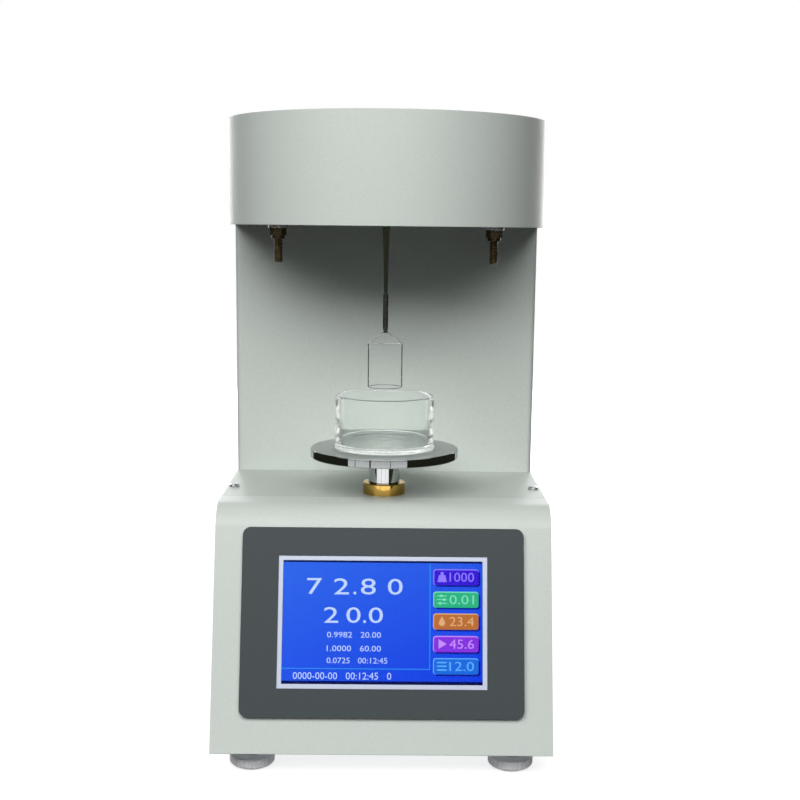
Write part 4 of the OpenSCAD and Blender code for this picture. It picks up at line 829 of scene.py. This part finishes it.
# %% [markdown]
# ## Numbers
# A measuring screen shows its reading large, a few smaller values under it and
# a clock in its foot. Text objects give the digits, because a font's outlines
# are there already. Each is turned into a mesh and fitted to a width and height.

# %% Digits
DIGIT_DEPTH, POINT_SIZE, POINT_UP = 0.11, 1.6, 0.8


def digits(body, x, z, width, height, depth=DIGIT_DEPTH, material="screen_white"):
    """Digits centred on x and z, fitted to a width and height in millimetres"""
    curve = bpy.data.curves.new("digits", "FONT")
    curve.body = body
    curve.resolution_u = 3
    flat = baked(bpy.data.objects.new("digits", curve))
    xs, ys = [v.co.x for v in flat.vertices], [v.co.y for v in flat.vertices]
    wide, tall = max(xs) - min(xs), max(ys) - min(ys)
    left, foot = x - width / 2, z - height / 2
    verts = [on_screen(left + (px - min(xs)) / wide * width, foot + (py - min(ys)) / tall * height, depth)
             for px, py in zip(xs, ys)]
    return mesh_of("digits", verts, [tuple(p.vertices) for p in flat.polygons], MATERIALS[material])


def reading(body, x, z, pitch, width, height):
    """A spaced row of large digits, with the point between two of them"""
    made, here = [], x - pitch * (sum(c != "." for c in body) - 1) / 2
    for c in body:
        if c == ".":
            made.append(digits(c, here - pitch / 2, z - height / 2 + POINT_UP, POINT_SIZE, POINT_SIZE))
        else:
            made.append(digits(c, here, z, width, height))
            here += pitch
    return made


numbers = reading("72.80", -15.3, 19.5, pitch=14.7, width=8.2, height=8.8)
numbers += reading("20.0", -15.9, 3.9, pitch=12.2, width=7.8, height=8.6)
for body, x, z, width, height in (
        ("0.9982   20.00", -15.5, -6.8, 29.4, 3.1), ("1.0000   60.00", -15.5, -14.2, 29.4, 3.1),
        ("0.0725   00:12:45", -13.7, -20.7, 33.0, 3.1),
        ("0000-00-00   00:12:45   0", -21.7, -29.0, 53.4, 3.8)):
    numbers.append(digits(body, x, z, width, height))
place_piece("screen_digits", numbers, "chassis")

# %% [markdown]
# ## Symbols
# A button says what it does with a symbol that needs no words: a weight to
# calibrate, sliders to adjust, a drop for the sample, a start mark and a list.
# Each is a few outlines round its own middle, with a plain number beside it.

# %% Shapes of the symbols
SYMBOL_HALF, BAR_STEP = 2.6, 2


def weight(x, z):
    """A block that narrows upward, with its knob"""
    block = [(x - SYMBOL_HALF, z - 2.7), (x + SYMBOL_HALF, z - 2.7), (x + 1.7, z + 1.2), (x - 1.7, z + 1.2)]
    return [block, rounded(x, z + 2.0, 1.8, 1.6, 0.7)]


def bars(x, z, half_thick):
    """Three level bars"""
    return [rectangle(x - SYMBOL_HALF, z + dz - half_thick, x + SYMBOL_HALF, z + dz + half_thick)
            for dz in (-BAR_STEP, 0, BAR_STEP)]


def sliders(x, z):
    """Three thin bars, each with a knob"""
    knobs = ((-1, -BAR_STEP), (1.2, 0), (-0.4, BAR_STEP))
    return bars(x, z, 0.25) + [rounded(x + dx, z + dz, 1.3, 1.5, 0.4) for dx, dz in knobs]


def drop(x, z):
    """A round belly under a point"""
    belly = [math.radians(degrees) for degrees in range(-210, 31, 20)]
    return [[(x + 1.7 * math.cos(a), z - 0.8 + 1.7 * math.sin(a)) for a in belly] + [(x, z + 2.9)]]


def start_mark(x, z):
    """A triangle that points to the right"""
    return [[(x - 1.8, z - 2.6), (x + SYMBOL_HALF, z), (x - 1.8, z + 2.6)]]


def listing(x, z):
    """Three thick bars"""
    return bars(x, z, 0.4)


print("symbol shapes ready")

# %% Symbols and numbers on the buttons
SYMBOL_DEPTH, SYMBOL_X, LABEL_X, LABEL_W, LABEL_H = 0.10, BUTTON_X - 7.6, BUTTON_X + 3.2, 13.4, 5.0
symbols = []
for colour, shape, label in (("violet", weight, "1000"), ("green", sliders, "0.01"), ("orange", drop, "23.4"),
                             ("magenta", start_mark, "45.6"), ("blue", listing, "12.0")):
    z, paint = BUTTONS[colour], colour + "_light"
    symbols += [plates(shape(SYMBOL_X, z), SYMBOL_DEPTH, FOIL, paint),
                digits(label, LABEL_X, z, LABEL_W, LABEL_H, SYMBOL_DEPTH, paint)]
place_piece("screen_symbols", symbols, "chassis")

# %% [markdown]
# ## Cover glass
# The touch glass is one thin plate behind the bezel. The solid in the frame
# fills the whole gap down to the panel, so a thinner plate stands for it, with
# the picture's shapes behind it.

# %% Cover glass
GLASS_BORDER, GLASS = 5.0, 0.8
half_w, half_h = HALF_W + GLASS_BORDER, HALF_H + GLASS_BORDER
cover = plates([rectangle(-half_w, -half_h, half_w, half_h)], -GLASS, GLASS, "touch_glass")
place_piece("cover_glass", [cover], "chassis", replaced=["touch_glass"])

# %% [markdown]
# ## Marks on the mains rocker
# A rocker switch has a bar on its on side and a ring on its off side, printed
# in white. Its front is a shallow V, so each mark follows the slope of its half.
# A mark is a thin band between two outlines. The bar's inner one is very narrow.

# %% Bar and ring
PIVOT = Vector((-50.0, 119.0, 101.5))
TILT_OFF, VALLEY, RISE = math.radians(8), 3.1, 1.2 / 8.5
INK_OUT, INK_IN, CIRCLE_STEPS = 0.04, -0.1, 32
MARK_R, MARK_UP = 1.7, 4.7


def printed(outer, inner):
    """A thin mark on the rocker's front, between two outlines of x and height"""
    n, verts, faces = len(outer), [], []
    for outline, skin in ((outer, INK_OUT), (outer, INK_IN), (inner, INK_OUT), (inner, INK_IN)):
        for x, z in outline:
            y = VALLEY + abs(z) * RISE + skin
            verts.append((PIVOT + Vector((x, y * math.cos(TILT_OFF) - z * math.sin(TILT_OFF),
                                          y * math.sin(TILT_OFF) + z * math.cos(TILT_OFF)))) * MM)
    for i in range(n):
        k = (i + 1) % n
        for a, b in ((0, n), (n, 3 * n), (3 * n, 2 * n), (2 * n, 0)):
            faces.append((a + i, a + k, b + k, b + i))
    return mesh_of("mark", verts, faces, MATERIALS["printed_white"])


def circle(r, z, squeeze=1.0):
    """Points of a circle round a height, pressed together sideways by squeeze"""
    angles = [math.tau * i / CIRCLE_STEPS for i in range(CIRCLE_STEPS)]
    return [(squeeze * r * math.cos(a), z + r * math.sin(a)) for a in angles]


ring_mark = printed(circle(MARK_R, MARK_UP), circle(MARK_R - 0.4, MARK_UP))
bar_mark = printed(circle(MARK_R, -MARK_UP, 0.2), circle(MARK_R - 0.3, -MARK_UP, 0.02))
place_piece("rocker_marks", [ring_mark, bar_mark], "rocker")

# %% [markdown]
# ## Stage: white ground
# The picture has a plain white ground. The floor and the world are white where
# the camera, a mirror or glass looks at them, but give the object almost no
# light: that comes from the lamps. A Light Path node tells the two apart. Close
# to the object the floor throws back the lamps' light, as paper does.


# %% Stage helpers
def stage_material(name):
    """An empty material for the stage, and its tree"""
    material = bpy.data.materials.new(name)
    material.use_nodes = True
    material.node_tree.nodes.clear()
    return material, material.node_tree


def seen(tree):
    """1 for camera, glossy and transmission rays, and 0 for light that bounces"""
    path = add(tree, "ShaderNodeLightPath").outputs
    looks = add(tree, MATH, {0: path["Is Camera Ray"], 1: path["Is Glossy Ray"]}, operation="MAXIMUM")
    return add(tree, MATH, {0: looks, 1: path["Is Transmission Ray"]}, operation="MAXIMUM")


print("helpers ready")

# %% Floor
FLOOR_HALF, GLOW_NEAR, GLOW_FAR, GLOW_LEAST = 9, 0.3, 0.9, 0.72
BOUNCE_FAR, BOUNCE_NEAR = 0.35, 0.2
floor_material, tree = stage_material("floor_white")
place = add(tree, "ShaderNodeTexCoord").outputs["Object"]
away = add(tree, "ShaderNodeVectorMath", {0: place}, operation="LENGTH").outputs["Value"]
strength = add(tree, RANGE, {
    "Value": away, "From Min": GLOW_NEAR, "From Max": GLOW_FAR, "To Min": GLOW_LEAST, "To Max": 1.0})
paper = add(tree, "ShaderNodeBsdfDiffuse", {"Color": rgb("#D0D0D0")})
glow = add(tree, "ShaderNodeEmission", {"Color": rgb("#FFFFFF"), "Strength": strength})
both = add(tree, "ShaderNodeAddShader", {0: paper, 1: glow})
near = add(tree, RANGE, {"Value": away, "From Min": BOUNCE_FAR, "From Max": BOUNCE_NEAR})
grey = add(tree, "ShaderNodeMixRGB", {"Fac": near, "Color1": rgb("#161616"), "Color2": rgb("#B4B4B4")})
dull = add(tree, "ShaderNodeBsdfDiffuse", {"Color": grey})
shown = add(tree, "ShaderNodeMixShader", {0: seen(tree), 1: dull, 2: both})
add(tree, "ShaderNodeOutputMaterial", {"Surface": shown})
corners = [(x * FLOOR_HALF, y * FLOOR_HALF, 0) for x, y in ((-1, -1), (1, -1), (1, 1), (-1, 1))]
floor = bpy.data.objects.new("floor", mesh_of("floor", corners, [(0, 1, 2, 3)], floor_material))
SCENE.collection.objects.link(floor)
print("floor ready,", 2 * FLOOR_HALF, "m wide")

# %% World
DIM, WHITE = 0.008, 1.0
world = bpy.data.worlds.new("studio")
world.use_nodes = True
tree = world.node_tree
tree.nodes.clear()
dim, white = (add(tree, "ShaderNodeBackground", {"Color": rgb("#FFFFFF"), "Strength": strength})
              for strength in (DIM, WHITE))
shown = add(tree, "ShaderNodeMixShader", {0: seen(tree), 1: dim, 2: white})
add(tree, "ShaderNodeOutputWorld", {"Surface": shown})
SCENE.world = world
print("world ready, strength", DIM)

# %% [markdown]
# ## Stage: dark screens
# Bare metal shows the room it stands in, and in an empty white one it would look
# like paper. So dark screens stand at both sides, with three narrow ones in
# front like the legs of a stand, and past the table's edge the room is dark.
# Only glossy rays see them.

# %% Dark screens for the metal
SCREEN_R, SCREEN_H, SCREEN_FOOT, SCREEN_STEPS = 0.62, 0.9, 0.001, 24
SCREEN_ANGLES = ((-140, -52), (-41.5, -40.5), (-20.3, -18.2), (8.3, 9.1), (32, 140))
TABLE_R, ROOM_R, ROOM_H, ROOM_FOOT, ROOM_STEPS = 1.05, 3.0, 0.5, 0.002, 48


def swept(profile, start, end, steps, first):
    """Sweeps (radius, height) points from one angle to another. The faces count points from first"""
    angles = [math.radians(start + (end - start) * i / steps) for i in range(steps + 1)]
    points = [(r * math.sin(a), -r * math.cos(a), z) for a in angles for r, z in profile]
    n = len(profile)
    corners = [first + n * i + k for i in range(steps) for k in range(n - 1)]
    return points, [(c, c + 1, c + n + 1, c + n) for c in corners]


room = [(TABLE_R, ROOM_FOOT), (ROOM_R, ROOM_FOOT), (ROOM_R, ROOM_H)]
sweeps = [([(SCREEN_R, SCREEN_FOOT), (SCREEN_R, SCREEN_H)], *span, SCREEN_STEPS) for span in SCREEN_ANGLES]
verts, faces = [], []
for profile, start, end, steps in sweeps + [(room, 0, 360, ROOM_STEPS)]:
    points, strip = swept(profile, start, end, steps, len(verts))
    verts += points
    faces += strip
card_material, tree = stage_material("dark_screen")
card = add(tree, "ShaderNodeEmission", {"Color": rgb("#36382C"), "Strength": 1.0})
add(tree, "ShaderNodeOutputMaterial", {"Surface": card})
cards = bpy.data.objects.new("dark_screens", mesh_of("dark_screens", verts, faces, card_material))
for ray in ("camera", "diffuse", "transmission", "volume_scatter", "shadow"):
    setattr(cards, "visible_" + ray, False)
SCENE.collection.objects.link(cards)
print("dark screens ready,", len(faces), "faces")

# %% [markdown]
# ## Stage: lamps
# One wide soft box stands high in front, and its size makes the shadows soft.
# Two behind it light the back and sides, low enough to keep the head's top grey.

# %% Lamps
AIM = Vector((0, 0, 0.2))


def soft_box(name, azimuth, elevation, distance, width, height, watts):
    """A rectangular lamp that faces the object. Its angles are in degrees"""
    lamp = bpy.data.lights.new(name, "AREA")
    lamp.shape = "RECTANGLE"
    lamp.size, lamp.size_y = width, height
    lamp.energy = watts
    a, e = math.radians(azimuth), math.radians(elevation)
    away = Vector((math.sin(a) * math.cos(e), -math.cos(a) * math.cos(e), math.sin(e)))
    box = bpy.data.objects.new(name, lamp)
    facing = away.to_track_quat("Z", "Y").to_matrix().to_4x4()
    box.matrix_world = Matrix.Translation(AIM + away * distance) @ facing
    SCENE.collection.objects.link(box)


soft_box("front_box", azimuth=-10, elevation=37, distance=1.4, width=1.9, height=0.72, watts=26.2)
for name, azimuth in (("left_back_box", -155), ("right_back_box", 155)):
    soft_box(name, azimuth, elevation=11, distance=1.6, width=0.8, height=0.9, watts=11)
print("lamps ready")
